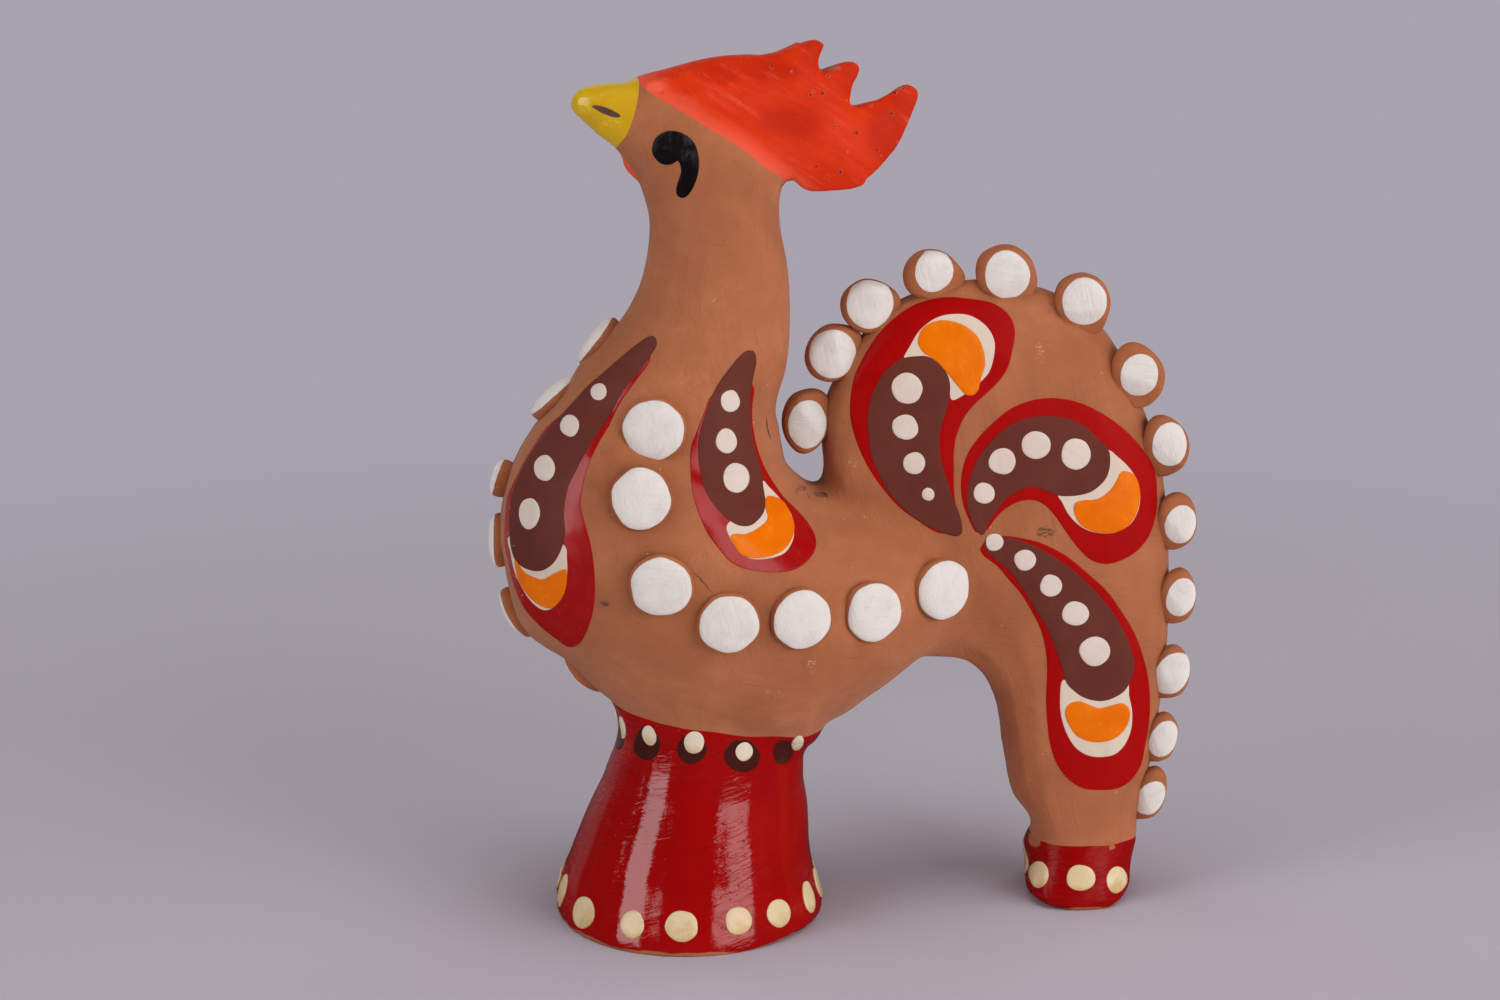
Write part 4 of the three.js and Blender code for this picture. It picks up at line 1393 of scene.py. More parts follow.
    def feet(self, points: Array) -> Array:
        """Rounds off the tail's foot, deepens both feet, tips the pedestal's rim and returns all points."""
        low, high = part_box("tail_foot")
        middle = np.array((low + high) / 2)
        height = points[:, 2]
        foot = (points[:, 0] > self.stem + self.foot_from) & (height < self.foot_round)
        drop = np.clip(1 - height / self.foot_round, 0, 1)
        inset = self.foot_round * (1 - np.sqrt(np.maximum(1 - drop**2, 0)))
        out = points[:, :2] - middle[:2]
        far = np.linalg.norm(out, axis=1)
        share = np.where(foot & (far > 0.002), np.clip(1 - inset / np.maximum(far, 1e-6), 0.3, 1), 1)
        moved = points.copy()
        moved[:, 0] = middle[0] + out[:, 0] * share
        moved = np.where(foot[:, None], moved, points)
        low = np.clip(1 - height / self.deep_below, 0, 1)
        x = points[:, 0] - self.stem
        aside = np.clip((middle[0] - points[:, 0]) / self.foot_half, 0, 0.88)
        square = (1 - aside**3) ** (1 / 3) / np.sqrt(1 - aside**2) - 1
        stem_deep = self.stem_deep[0] - self.stem_deep[1] * np.clip(x / self.stem_half, -1, 1)
        moved[:, 1] *= 1 + np.where(x > self.foot_from, self.foot_deep + square, stem_deep) * low
        round_stem = np.arctan2(x, -points[:, 1])
        lift = np.exp(-(((round_stem - self.rim_side[0]) / self.rim_side[1]) ** 2))
        lift = self.rim_lift * lift * np.clip(1 - height / self.rim_high, 0, 1)
        moved[:, 2] += np.where(x < self.foot_from, lift, 0)
        return moved

    def handwork(self, p: Vector) -> float:
        """Returns the dents and swellings that fingers leave at a point, in millimetres."""
        return sum(noise.noise(p / size + Vector(place)) * depth for size, depth, place in self.dents)

    def within_reach(self, zone: Zone, p: Vector) -> bool:
        """Returns whether a point belongs to the part of the skin that a zone is cut from."""
        low, high, left, right = self.reaches[zone]
        return low < p.z < high and self.stem + left < p.x < self.stem + right

    def cut(self, bm: Draft, zone: Zone, inside: Callable[[Vector], float]) -> None:
        """Cuts the skin where a border's field is 0 and marks the faces inside it.

        Args:
            bm: The skin.
            zone: The zone inside the border.
            inside: The field of the border, above 0 inside.
        """
        marks = bm.faces.layers.int["zone"]
        rest = bm.verts.layers.float_vector["rest"]
        verts = {v for v in bm.verts if self.within_reach(zone, v.co)}
        faces = [f for f in bm.faces if all(v in verts for v in f.verts)]
        for v in bm.verts:
            v[rest] = v.co
        fields = {v: inside(v.co) for v in verts}
        for v, value in fields.items():
            v.co.x = value * MM
        edges = {e for f in faces for e in f.edges}
        bmesh.ops.bisect_plane(
            bm, geom=[*{v for f in faces for v in f.verts}, *edges, *faces],
            dist=1e-7, plane_co=(0, 0, 0), plane_no=(1, 0, 0),
        )
        for v in bm.verts:
            v.co = v[rest]
        index = list(Zone).index(zone)
        for f in bm.faces:
            centre = f.calc_center_median()
            if self.within_reach(zone, centre) and inside(centre) > 0:
                f[marks] = index

    def border_of(self, inner: Zone, outer: Sequence[Zone]) -> Callable[[Vector], float]:
        """Returns the field of the luted seam between one lump and its neighbours."""
        trees = {zone: self.tree_of(zone) for zone in (inner, *outer)}

        def nearer(p: Vector) -> float:
            """Returns how much nearer the inner lump is, in millimetres."""
            mine = trees[inner].find_nearest(p)[3]
            return (min(trees[z].find_nearest(p)[3] for z in outer) - mine) / MM

        return nearer

    def divide(self) -> dict[Zone, bpy.types.Mesh]:
        """Cuts the skin and returns the mesh of each zone."""
        bm = draft_of(self.mesh)
        bm.faces.layers.int.new("zone")
        bm.verts.layers.float_vector.new("rest")
        cuts = {
            Zone.NECK: self.border_of(Zone.NECK, (Zone.BODY, Zone.TAIL)),
            Zone.TAIL: self.border_of(Zone.TAIL, (Zone.BODY, Zone.NECK)),
            Zone.COMB: self.borders.comb,
            Zone.BEAK: self.borders.beak,
            Zone.WATTLE: self.borders.wattle(self.tree_of(Zone.WATTLE)),
            Zone.PEDESTAL: self.borders.pedestal,
            Zone.FOOT: self.borders.foot,
        }
        for zone, inside in cuts.items():
            self.cut(bm, zone, inside)
        bmesh.ops.triangulate(bm, faces=[f for f in bm.faces if len(f.verts) > 4])
        self.coat_edges(bm, cuts)
        bm.normal_update()
        self.tree = BVHTree.FromBMesh(bm)
        Wear(self.view).mark(bm, self.tree)
        inlay = bm.verts.layers.float.new("inlay")
        for v in bm.verts:
            v[inlay] = self.borders.comb(v.co)
        whole = finished("whole", bm)
        pieces = {zone: self.zone_mesh(whole, zone) for zone in Zone}
        bpy.data.meshes.remove(whole)
        return pieces

    def coat_edges(self, bm: Draft, fields: dict[Zone, Callable[[Vector], float]]) -> None:
        """Raises the painted zones by the thickness of their coat, falling to nothing at the border."""
        marks = bm.faces.layers.int["zone"]
        zones = list(Zone)
        bm.normal_update()
        for v in bm.verts:
            kinds = {zones[f[marks]] for f in v.link_faces}
            if len(kinds) != 1:
                continue
            kind = kinds.pop()
            if kind in self.coated:
                v.co += v.normal * self.coat * MM * smoothstep(0.0, 0.9, fields[kind](v.co))
        for v in bm.verts:
            v.co.z = max(v.co.z, 0.0)

    def zone_mesh(self, whole: bpy.types.Mesh, zone: Zone) -> bpy.types.Mesh:
        """Returns one zone of the skin, which keeps the whole skin's normals along its edge."""
        index = list(Zone).index(zone)
        bm = draft_of(whole)
        bm.normal_update()
        marks = bm.faces.layers.int["zone"]
        rest = bm.verts.layers.float_vector["rest"]
        for v in bm.verts:
            v[rest] = v.normal
        others = [f for f in bm.faces if f[marks] != index]
        bmesh.ops.delete(bm, geom=others, context="FACES")
        normals = [tuple(v[rest]) for v in bm.verts]
        bm.verts.layers.float_vector.remove(rest)
        bm.faces.layers.int.remove(marks)
        mesh = finished(zone.piece, bm)
        mesh.shade_smooth()
        mesh.normals_split_custom_set_from_vertices(normals)
        return mesh

    def build(self, finishes: Finishes) -> None:
        """Shapes, cuts and dresses the skin."""
        self.shape()
        coats = {
            Zone.COMB: finishes.comb,
            Zone.WATTLE: finishes.comb,
            Zone.BEAK: finishes.paint["beak_yellow"],
            Zone.PEDESTAL: finishes.lacquer,
            Zone.FOOT: finishes.foot_lacquer,
        }
        for zone, mesh in self.divide().items():
            obj = new_object(zone.piece, mesh, coats.get(zone, finishes.clay))
            place_piece(obj, zone.slot, (zone.node,))


# Pellets.


class PelletKind(Enum):
    """How a pellet was pressed on.

    Each has its name, the height where its dab of whiting ends, the height of its face above its
    middle, and rows of radius and height, all in millimetres.
    """

    WING = ("wing", 1.55, 2.4, (
        (0.0, 2.62), (1.2, 2.60), (2.4, 2.54), (3.5, 2.38), (4.35, 2.10), (4.95, 1.70), (5.28, 1.20),
        (5.38, 0.65), (5.30, 0.10), (5.10, -0.45), (4.80, -1.0), (4.2, -1.4), (0.0, -1.6),
    ))
    CHEST = ("chest", 1.15, 2.2, (
        (0.0, 2.45), (1.1, 2.42), (2.2, 2.34), (3.2, 2.16), (4.0, 1.86), (4.6, 1.44), (4.92, 0.95),
        (5.0, 0.45), (4.92, -0.05), (4.7, -0.6), (4.3, -1.1), (0.0, -1.5),
    ))
    RIM = ("rim", 3.0, 3.7, (
        (0.0, 3.85), (1.1, 3.84), (2.2, 3.80), (3.2, 3.66), (3.95, 3.38), (4.42, 2.95), (4.70, 2.35),
        (4.84, 1.5), (4.90, 0.4), (4.88, -0.8), (4.78, -1.9), (4.45, -2.8), (3.9, -3.4), (3.0, -3.7),
        (1.5, -3.8), (0.0, -3.82),
    ))
    LOW_RIM = ("low_rim", 2.95, 3.7, (
        (0.0, 3.85), (1.2, 3.84), (2.4, 3.80), (3.4, 3.68), (4.2, 3.42), (4.75, 3.02), (5.02, 2.45),
        (5.12, 1.8), (5.05, 1.1), (4.8, 0.3), (4.4, -0.6), (3.9, -1.6), (3.3, -2.6), (2.3, -3.3),
        (1.1, -3.6), (0.0, -3.7),
    ))

    def __init__(self, label: str, dab: float, rise: float, profile: tuple[Spot, ...]) -> None:
        """Names what a kind's row holds."""
        self.label, self.dab, self.rise, self.profile = label, dab, rise, profile


@dataclass(frozen=True)
class Stub:
    """How a ball of clay was stuck on the tail's rim and dabbed.

    Attributes:
        shift: How far it was pressed off its seat, as the viewpoint shows it.
        out: The way out of the rim, in degrees.
        size: Its size along that way and across it, as a share of its kind's.
        dab: Half width and half height of its dab of whiting, in millimetres.
        off: The middle of the dab, from the ball's own.
        lean: How far the dab leans over to the right, in degrees.
    """

    shift: Spot
    out: float
    size: Spot
    dab: Spot
    off: Spot
    lean: float = 0.0

    def stick(self, bm: Draft) -> None:
        """Flattens a ball against the rim and smears its foot onto the tail."""
        turn = math.radians(self.out)
        out = Vector((math.cos(turn), math.sin(turn), 0))
        across = Vector((-out.y, out.x, 0))
        slip = -(out * 0.82 + across * 0.57)
        for v in bm.verts:
            p = v.co / MM
            flat = out * p.dot(out) * self.size[0] + across * p.dot(across) * self.size[1]
            share = smoothstep(1.0, 4.4, flat.dot(slip))
            v.co = (flat + slip * 1.5 * share + Vector((0, 0, p.z * (1 - 0.62 * share)))) * MM

    def inside(self, p: Vector) -> float:
        """Returns how far a point lies inside the dab, in millimetres."""
        lean = math.radians(self.lean)
        dx, dy = p.x - self.off[0], p.y - self.off[1]
        across = dx * math.cos(lean) - dy * math.sin(lean)
        along = dx * math.sin(lean) + dy * math.cos(lean)
        share = math.hypot(across / self.dab[0], along / self.dab[1])
        return min((1 - share) * min(self.dab), p.z - 0.5)


@dataclass
class Pellets:
    """The pressed pellets of the wings, the breast and the tail's rim.

    Attributes:
        view: The viewpoint.
        turns: Steps round a pellet.
        wobble: How far a pellet strays from round, as a share of its radius.
        low_rim: The pellets of the rim that sit low on the tail.
        widths: Width of odd pellets, as a share of their kind's.
        shifts: How far odd pellets were pressed off their seats, as the viewpoint shows it.
        rim_facing: The way that the pellets of the rim face.
        stubs: How each of those was stuck on, in order.
    """

    view: Viewpoint
    turns: int = 44
    wobble: float = 0.035
    low_rim: tuple[str, ...] = tuple(f"rim_pellet_{k}" for k in range(7, 14))
    widths: dict[str, float] = field(default_factory=lambda: {"chest_pellet_3": 0.68})
    shifts: dict[str, Spot] = field(default_factory=lambda: {"chest_pellet_3": (-2.0, -5.0)})
    rim_facing: Colour = (-0.12, -1.0, 0.0)
    stubs: tuple[Stub, ...] = (
        Stub((4, 2), 180, (0.82, 1.12), (3.5, 4.3), (0.4, 0.2)),
        Stub((-1, 3), 155, (0.92, 1.04), (4.2, 4.45), (0.2, 0.4)),
        Stub((-1, 5), 130, (0.96, 0.99), (4.25, 4.4), (0.35, 0.75), 20),
        Stub((-5, 1), 105, (0.90, 1.03), (3.5, 3.65), (0.5, 1.0)),
        Stub((-5, 3.5), 85, (1.01, 1.06), (4.0, 4.5), (0.25, 0.0), -18),
        Stub((-5, 4.5), 58, (1.0, 1.02), (4.0, 4.35), (0.1, 0.3), -10),
        Stub((-4, 4), 35, (0.88, 1.08), (3.4, 4.0), (0.0, -0.3)),
        Stub((-4, 4), 18, (0.78, 1.07), (3.15, 4.1), (0.3, 0.3)),
        Stub((-6.5, -0.5), 5, (0.69, 1.0), (2.85, 3.7), (0.35, -0.5), 8),
        Stub((-7, 0), 0, (0.64, 1.0), (2.7, 3.65), (0.3, 0.0), 16),
        Stub((-9.5, 6.5), -5, (0.70, 0.95), (3.1, 4.3), (0.1, 0.1), 30),
        Stub((-8, 0), -10, (0.57, 0.92), (2.45, 3.7), (0.1, 0.0), 25),
        Stub((-10, 3.5), -12, (0.56, 1.0), (2.5, 3.6), (-0.2, -0.6), 28),
    )

    def stub(self, node: str) -> Stub | None:
        """Returns how a pellet was stuck on the rim."""
        return self.stubs[int(node.rsplit("_", 1)[1]) - 1] if node.startswith("rim") else None

    def seat(self, node: str) -> tuple[Vector, Vector]:
        """Finds where a solid pellet sits.

        Args:
            node: The solid.

        Returns:
            The middle of its pressed face and the way that this faces.
        """
        bm = draft_of(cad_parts[node].data)
        flats: dict[tuple, tuple[float, Vector, Vector]] = {}
        for f in bm.faces:
            key = tuple(round(c, 2) for c in f.normal)
            area, total, way = flats.get(key, (0.0, Vector(), Vector()))
            size = f.calc_area()
            flats[key] = (area + size, total + f.calc_center_median() * size, way + f.normal * size)
        bm.free()
        outward = Vector((-1, 0, 0)) if node.startswith("chest") else Vector((0, -1, 0))
        if "right" in node:
            outward = -outward
        known = [f for f in flats.values() if f[2].dot(outward) > 0]
        area, total, way = max(known, key=lambda f: f[0])
        way.normalize()
        stub = self.stub(node)
        if stub:
            way = Vector(self.rim_facing)
        elif node.startswith("wing"):
            way = way + outward * 0.5
        place = np.array(total / area)[None]
        shift = stub.shift if stub else self.shifts.get(node, (0.0, 0.0))
        place = self.view.pushed(place, [Push(tuple(self.view.spots(place)[0]), shift, 1.0)])
        return Vector(self.view.pushed(place, PUSHES)[0]), way.normalized()

    def turned(self, kind: PelletKind, seed: float, wide: float) -> Draft:
        """Turns a pellet about its own z axis, out of round as a pinched ball is.

        Args:
            kind: How it was pressed on.
            seed: Where its unevenness is taken from.
            wide: Its width as a share of its kind's.

        Returns:
            The pellet.
        """
        bm = bmesh.new()
        rows = [bm.verts.new((r * wide * MM, 0, z * MM)) for r, z in kind.profile]
        for a, b in zip(rows, rows[1:]):
            bm.edges.new((a, b))
        bmesh.ops.spin(
            bm, geom=bm.verts[:] + bm.edges[:], cent=(0, 0, 0), axis=(0, 0, 1), angle=2 * math.pi,
            steps=self.turns, use_merge=True,
        )
        bmesh.ops.remove_doubles(bm, verts=bm.verts[:], dist=1e-6)
        bmesh.ops.subdivide_edges(bm, edges=bm.edges[:], cuts=1, use_grid_fill=True, smooth=0.35)
        bmesh.ops.recalc_face_normals(bm, faces=bm.faces[:])
        push = Vector((seed * 3.7, seed * 1.3, seed * 2.1))
        for v in bm.verts:
            p = v.co / MM
            round_off = 1 + self.wobble * noise.noise(Vector((p.x / 4, p.y / 4, 0)) + push) * 2
            dent = 0.15 * noise.noise(p / 3.2 + push) + 0.03 * noise.noise(p / 1.1 + push)
            v.co = Vector((p.x * round_off, p.y * round_off, p.z + dent)) * MM
        return bm

    def chalk(self, bm: Draft, kind: PelletKind, seed: float, stub: Stub | None) -> None:
        """Gives each point its distance inside the dab of whiting, in millimetres.

        Args:
            bm: The pellet.
            kind: How it was pressed on.
            seed: Where the dab's unevenness is taken from.
            stub: How it was stuck on the rim, if it was.
        """
        layer = bm.verts.layers.float.new("chalk")
        push = Vector((seed, seed * 2.9, 7.0))
        for v in bm.verts:
            p = v.co / MM
            stray = noise.noise(Vector((p.x / 4.5, p.y / 4.5, 0.0)) + push) * 0.16
            v[layer] = stray + (stub.inside(p) if stub else p.z - kind.dab)

    def press(self, node: str, kind: PelletKind, finishes: Finishes, seed: float) -> None:
        """Makes one pellet where its solid sits."""
        centre, facing = self.seat(node)
        wide = self.widths.get(node, 1.04 if kind is PelletKind.WING else 1.0)
        bm = self.turned(kind, seed, wide)
        bmesh.ops.transform(bm, matrix=Matrix.Rotation(seed * 2.4, 4, "Z"), verts=bm.verts[:])
        stub = self.stub(node)
        if stub:
            stub.stick(bm)
        self.chalk(bm, kind, seed, stub)
        base = centre - facing * kind.rise * MM
        turn = facing.to_track_quat("Z", "Y").to_matrix().to_4x4()
        bmesh.ops.transform(bm, matrix=Matrix.Translation(base) @ turn, verts=bm.verts[:])
        name = f"{node}_pressed"
        obj = new_object(name, finished(name, bm), finishes.pellet)
        place_piece(obj, "pellet_white", (node,))

    def build(self, finishes: Finishes) -> None:
        """Makes every pellet."""
        for i, node in enumerate(sorted(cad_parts)):
            for kind in PelletKind:
                if node.startswith(f"{kind.label}_pellet"):
                    kind = PelletKind.LOW_RIM if node in self.low_rim else kind
                    self.press(node, kind, finishes, 1.0 + 0.618 * i)


# Paint films.


def oval(centre: Spot, half: Spot, tilt: float = 0.0, seed: float = 0.0, stray: float = 0.06) -> list[Spot]:
    """Draws a dab that is nearly an oval.

    Args:
        centre: Its middle.
        half: Its half width and half height.
        tilt: Its tilt in degrees.
        seed: Where its unevenness is taken from.
        stray: Its unevenness, as a share of its size.

    Returns:
        Points of its outline.
    """
    cos, sin = math.cos(math.radians(tilt)), math.sin(math.radians(tilt))
    count = 14
    line = []
    for i in range(count):
        t = i / count * 2 * math.pi
        r = 1 + stray * 1.6 * noise.noise(Vector((math.cos(t), math.sin(t), seed)))
        x, y = r * half[0] * math.cos(t), r * half[1] * math.sin(t)
        line.append((centre[0] + x * cos - y * sin, centre[1] + x * sin + y * cos))
    return line


@dataclass
class PictureRays:
    """Lays films along the rays of the viewpoint, or of its mirror image beyond the figure."""

    view: Viewpoint
    skin: BVHTree
    mirrored: bool = False

    @property
    def unit(self) -> float:
        """Millimetres in one unit of an outline."""
        return self.view.scale()

    def touch(self, spot: Spot) -> Vector | None:
        """Returns where a spot's ray meets the skin."""
        start, way = self.view.ray(spot)
        if self.mirrored:
            start, way = Vector((start.x, -start.y, start.z)), Vector((way.x, -way.y, way.z))
        return self.skin.ray_cast(start, way)[0]


@dataclass
class PatchRays:
    """Lays films straight down onto one place of the skin; outlines are in millimetres."""

    place: Vector
    out: Vector
    skin: BVHTree
    unit: float = 1.0

    def touch(self, spot: Spot) -> Vector | None:
        """Returns where the skin lies under a spot."""
        side = Vector((0, 0, 1)).cross(self.out).normalized()
        up = self.out.cross(side)
        start = self.place + side * spot[0] * MM - up * spot[1] * MM + self.out * 0.006
        return self.skin.ray_cast(start, -self.out, 0.02)[0]


class Coat(Enum):
    """A coat of paint.

    Each has its name, the height of its edge above the clay, just above the coat below, the height of
    its face and the unevenness of that face, all in millimetres.
    """

    RED = ("red", 0.025, 0.055, 0.0)
    WHITE = ("white", 0.065, 0.09, 0.0)
    BROWN = ("brown", 0.10, 0.13, 0.0)
    ORANGE = ("orange", 0.14, 0.21, 0.05)
    DOTS = ("dots", 0.14, 0.24, 0.03)
    EYE = ("eye", 0.025, 0.12, 0.02)
    NOSTRIL = ("nostril", 0.03, 0.06, 0.0)
    BLOB = ("blob", 0.03, 0.06, 0.0)
    DROP = ("drop", 0.09, 0.22, 0.03)

    def __init__(self, label: str, rim: float, face: float, lumps: float) -> None:
        """Names what a coat's row holds."""
        self.label, self.rim, self.face, self.lumps = label, rim, face, lumps


@dataclass
class Films:
    """Lays films of paint on the skin and joins the films of a coat into one piece.

    Attributes:
        edge: Width of a film's rounded edge in millimetres.
        root: How deep a film's body reaches into the clay.
        pulls: Shares of the way to its middle that a point is pulled until its ray meets the skin.
        grain: Size of the lumps in a coat, in millimetres, and of the finer ones.
        cutter: What cuts their outlines.
    """

    edge: float = 0.3
    root: float = 0.2
    pulls: tuple[float, ...] = (0.0, 0.01, 0.02, 0.04, 0.08, 0.15, 0.3, 0.6, 1.0)
    grain: Spot = (0.9, 0.35)
    cutter: Cutter = Cutter()

    def lay(self, outline: Sequence[Spot], rays: PictureRays | PatchRays, coat: Coat) -> Draft:
        """Lays one film on the skin.

        Args:
            outline: Points of its outline.
            rays: What carries the outline onto the skin.
            coat: How thick it lies.

        Returns:
            The film in place.
        """
        bm, away = self.cutter.blank(outline, rays.unit)
        middle = np.array(outline).mean(0)
        tall = max(float(np.ptp(np.array(outline)[:, 1])), 1e-6)
        sag = bm.verts.layers.float.new("sag")
        for v in bm.verts:
            spot = np.array(v.co[:2])
            place = None
            for pull in self.pulls:
                place = rays.touch(tuple(spot + (middle - spot) * pull))
                if place is not None:
                    break
            v[sag] = float(spot[1] - middle[1]) / tall
            v.co = place
        bm.normal_update()
        facing = 0.0
        for f in bm.faces:
            facing += rays.skin.find_nearest(f.calc_center_median())[1].dot(f.normal) * f.calc_area()
        if facing < 0:
            bmesh.ops.reverse_faces(bm, faces=bm.faces[:])
            bm.normal_update()
        edge = min(self.edge, 0.7 * float(away.max()))
        moves = []
        for v, d in zip(bm.verts, away):
            coarse, fine = (noise.noise(v.co / MM / grain) for grain in self.grain)
            lump = coat.lumps * coarse + 0.6 * coat.lumps * fine
            rise = coat.rim + (coat.face + lump - coat.rim) * smoothstep(-0.15 * edge, edge, d)
            moves.append(v.normal * rise * MM)
        for v, move in zip(bm.verts, moves):
            v.co += move
        return bm

    def piece(self, name: str, films: Sequence[Draft], coat: Coat, material: bpy.types.Material,
              slot: str) -> None:
        """Joins films of one coat into a piece with a closed body."""
        obj = new_object(name, joined(name, films), material)
        solid = obj.modifiers.new("body", "SOLIDIFY")
        solid.thickness = (coat.face + self.root) * MM
        solid.offset = -1.0
        place_piece(obj, slot)


@dataclass
class Plume:
    """One painted plume, as it is seen from the viewpoint.

    Attributes:
        red: The outer coat.
        white: The whitened end.
        brown: The vane.
        orange: The tip on the white.
        dots: Middles and half sizes of the row of dots.
    """

    red: list[Spot]
    white: list[Spot]
    brown: list[Spot]
    orange: list[Spot]
    dots: list[Area]

    def outlines(self, coat: Coat) -> list[list[Spot]]:
        """Returns the outlines of one of its coats."""
        if coat is Coat.DOTS:
            return [oval((u, v), (a, b), seed=u) for u, v, a, b in self.dots]
        return [getattr(self, coat.label)]


BREAST_FRONT = Plume(
    red=[
        (550, 424), (530, 451), (517.5, 474), (508, 496), (505, 517), (505, 542), (508.5, 563), (514, 585),
        (524, 608), (540, 626), (555, 638), (569, 647), (580, 643), (587, 631), (593, 612), (595, 591),
        (594, 566), (591, 545), (585, 523), (581, 505), (583, 487), (588, 467), (598, 445), (609, 426),
        (619, 405), (630, 389), (642, 373), (650, 361), (646, 358), (620, 385), (590, 396),
    ],
    white=[
        (510, 536), (511, 554), (515, 572), (523, 589), (532, 602), (544, 610), (555, 606), (563, 594),
        (567, 576), (567, 559), (564, 545), (541, 539),
    ],
    brown=[
        (651, 336), (635, 346), (618, 360), (602, 374), (587, 387), (569, 407), (550, 427), (535, 447),
        (523, 467), (514, 490), (510, 511), (510, 530), (511, 545), (515, 559), (523, 567), (535, 571),
        (546, 569), (556, 560), (563, 545), (565, 530), (564, 514), (566, 496), (569, 485), (578, 467),
        (587, 450), (599, 432), (610, 415), (619, 398), (627, 386), (639, 372), (651, 355), (657, 343),
    ],
    orange=[
        (515, 560), (518, 577), (526, 592), (537, 603), (550, 608), (560, 601), (566, 588), (567, 572),
        (564, 569), (553, 574), (544, 579), (534, 577), (524, 571), (518, 562),
    ],
    dots=[(599, 392, 8, 8.5), (570, 426, 9.5, 11), (545, 468, 10.5, 13), (530, 514, 10.5, 15.5)],
)

BREAST_BACK = Plume(
    red=[
        (711, 396), (703, 415), (696.5, 432), (691, 447), (690, 462), (691, 481), (694, 499), (700, 517),
        (708, 534), (719, 549), (731, 562), (746, 569), (765, 572), (783, 572), (798, 568), (811, 557),
        (816, 545), (814, 533), (806, 520), (795, 508), (783, 496), (772.5, 481), (765, 468), (759, 453),
        (755, 438), (752.5, 422), (752.5, 405), (754, 388), (748, 384), (736, 404), (722, 402),
    ],
    white=[
        (762, 481), (769, 487), (781, 500), (791, 514), (794, 528), (792, 542), (783, 554), (765, 559),
        (749, 558), (737, 549), (729, 536), (727, 525), (740, 514), (760, 499),
    ],
    brown=[
        (752, 350.5), (745, 351.5), (739, 357), (733, 364), (726, 373), (719, 383), (711, 398), (705, 415),
        (700, 432), (698, 450), (700, 471), (705, 490), (714, 505), (725, 517), (737, 525), (749, 526),
        (758, 520), (764, 511), (765, 499), (763, 487), (761, 471), (757, 456), (753, 441), (751, 425),
        (750, 407), (751, 389), (754, 373), (756, 363), (755, 354),
    ],
    orange=[
        (769, 496), (781, 500), (789, 511), (794, 526), (791, 540), (782, 551), (768, 557), (752, 558),
        (740, 554), (734, 545), (730, 537), (734, 534), (746, 534), (758, 528), (767, 519), (765, 508),
        (765, 500),
    ],
    dots=[(730, 401, 9.5, 11), (726, 441, 10.5, 12.5), (736, 478, 13, 15)],
)

TAIL_HIGH = Plume(
    red=[
        (936, 532), (918, 521), (898, 506), (880, 485), (866, 463), (857, 443), (851, 422), (850, 402),
        (854, 378), (863, 358), (876, 337), (892, 320), (912, 306), (933, 299), (951, 297), (971, 299),
        (989, 302), (1003, 309), (1012, 320), (1015, 334), (1012, 352), (1008, 367), (1000, 380),
        (987, 393), (974, 405), (964, 418), (957, 434), (954, 452), (954, 469), (954, 490), (956, 507),
        (959, 524), (948, 533),
    ],
    white=[
        (904, 359), (910, 346), (920, 330), (936, 318), (954, 314), (971, 316), (986, 326), (994, 340),
        (994, 355), (989, 372), (978, 384), (965, 394), (952, 400), (948, 388), (936, 372), (916, 364),
    ],
    brown=[
        (920, 356), (901, 359), (885, 372), (874, 390), (868, 411), (868, 431), (871, 455), (879, 474),
        (889, 493), (904, 509), (921, 522), (939, 531), (954, 536), (961, 534), (962, 526), (959, 513),
        (952, 496), (946, 478), (941, 460), (939, 443), (941, 428), (945, 414), (949, 399), (950, 384),
        (946, 372), (937, 362), (929, 357),
    ],
    orange=[
        (918, 339), (923, 328), (936, 321), (951, 321), (965, 326), (977, 336), (983, 349), (985, 364),
        (981, 378), (978, 390), (973, 395), (965, 394), (956, 384), (948, 374), (936, 361), (924, 353),
        (919, 346),
    ],
    dots=[(907, 388, 15.5, 15.5), (905, 427, 13, 12.5), (914, 463, 11, 11), (928, 494, 6.3, 6.5)],
)

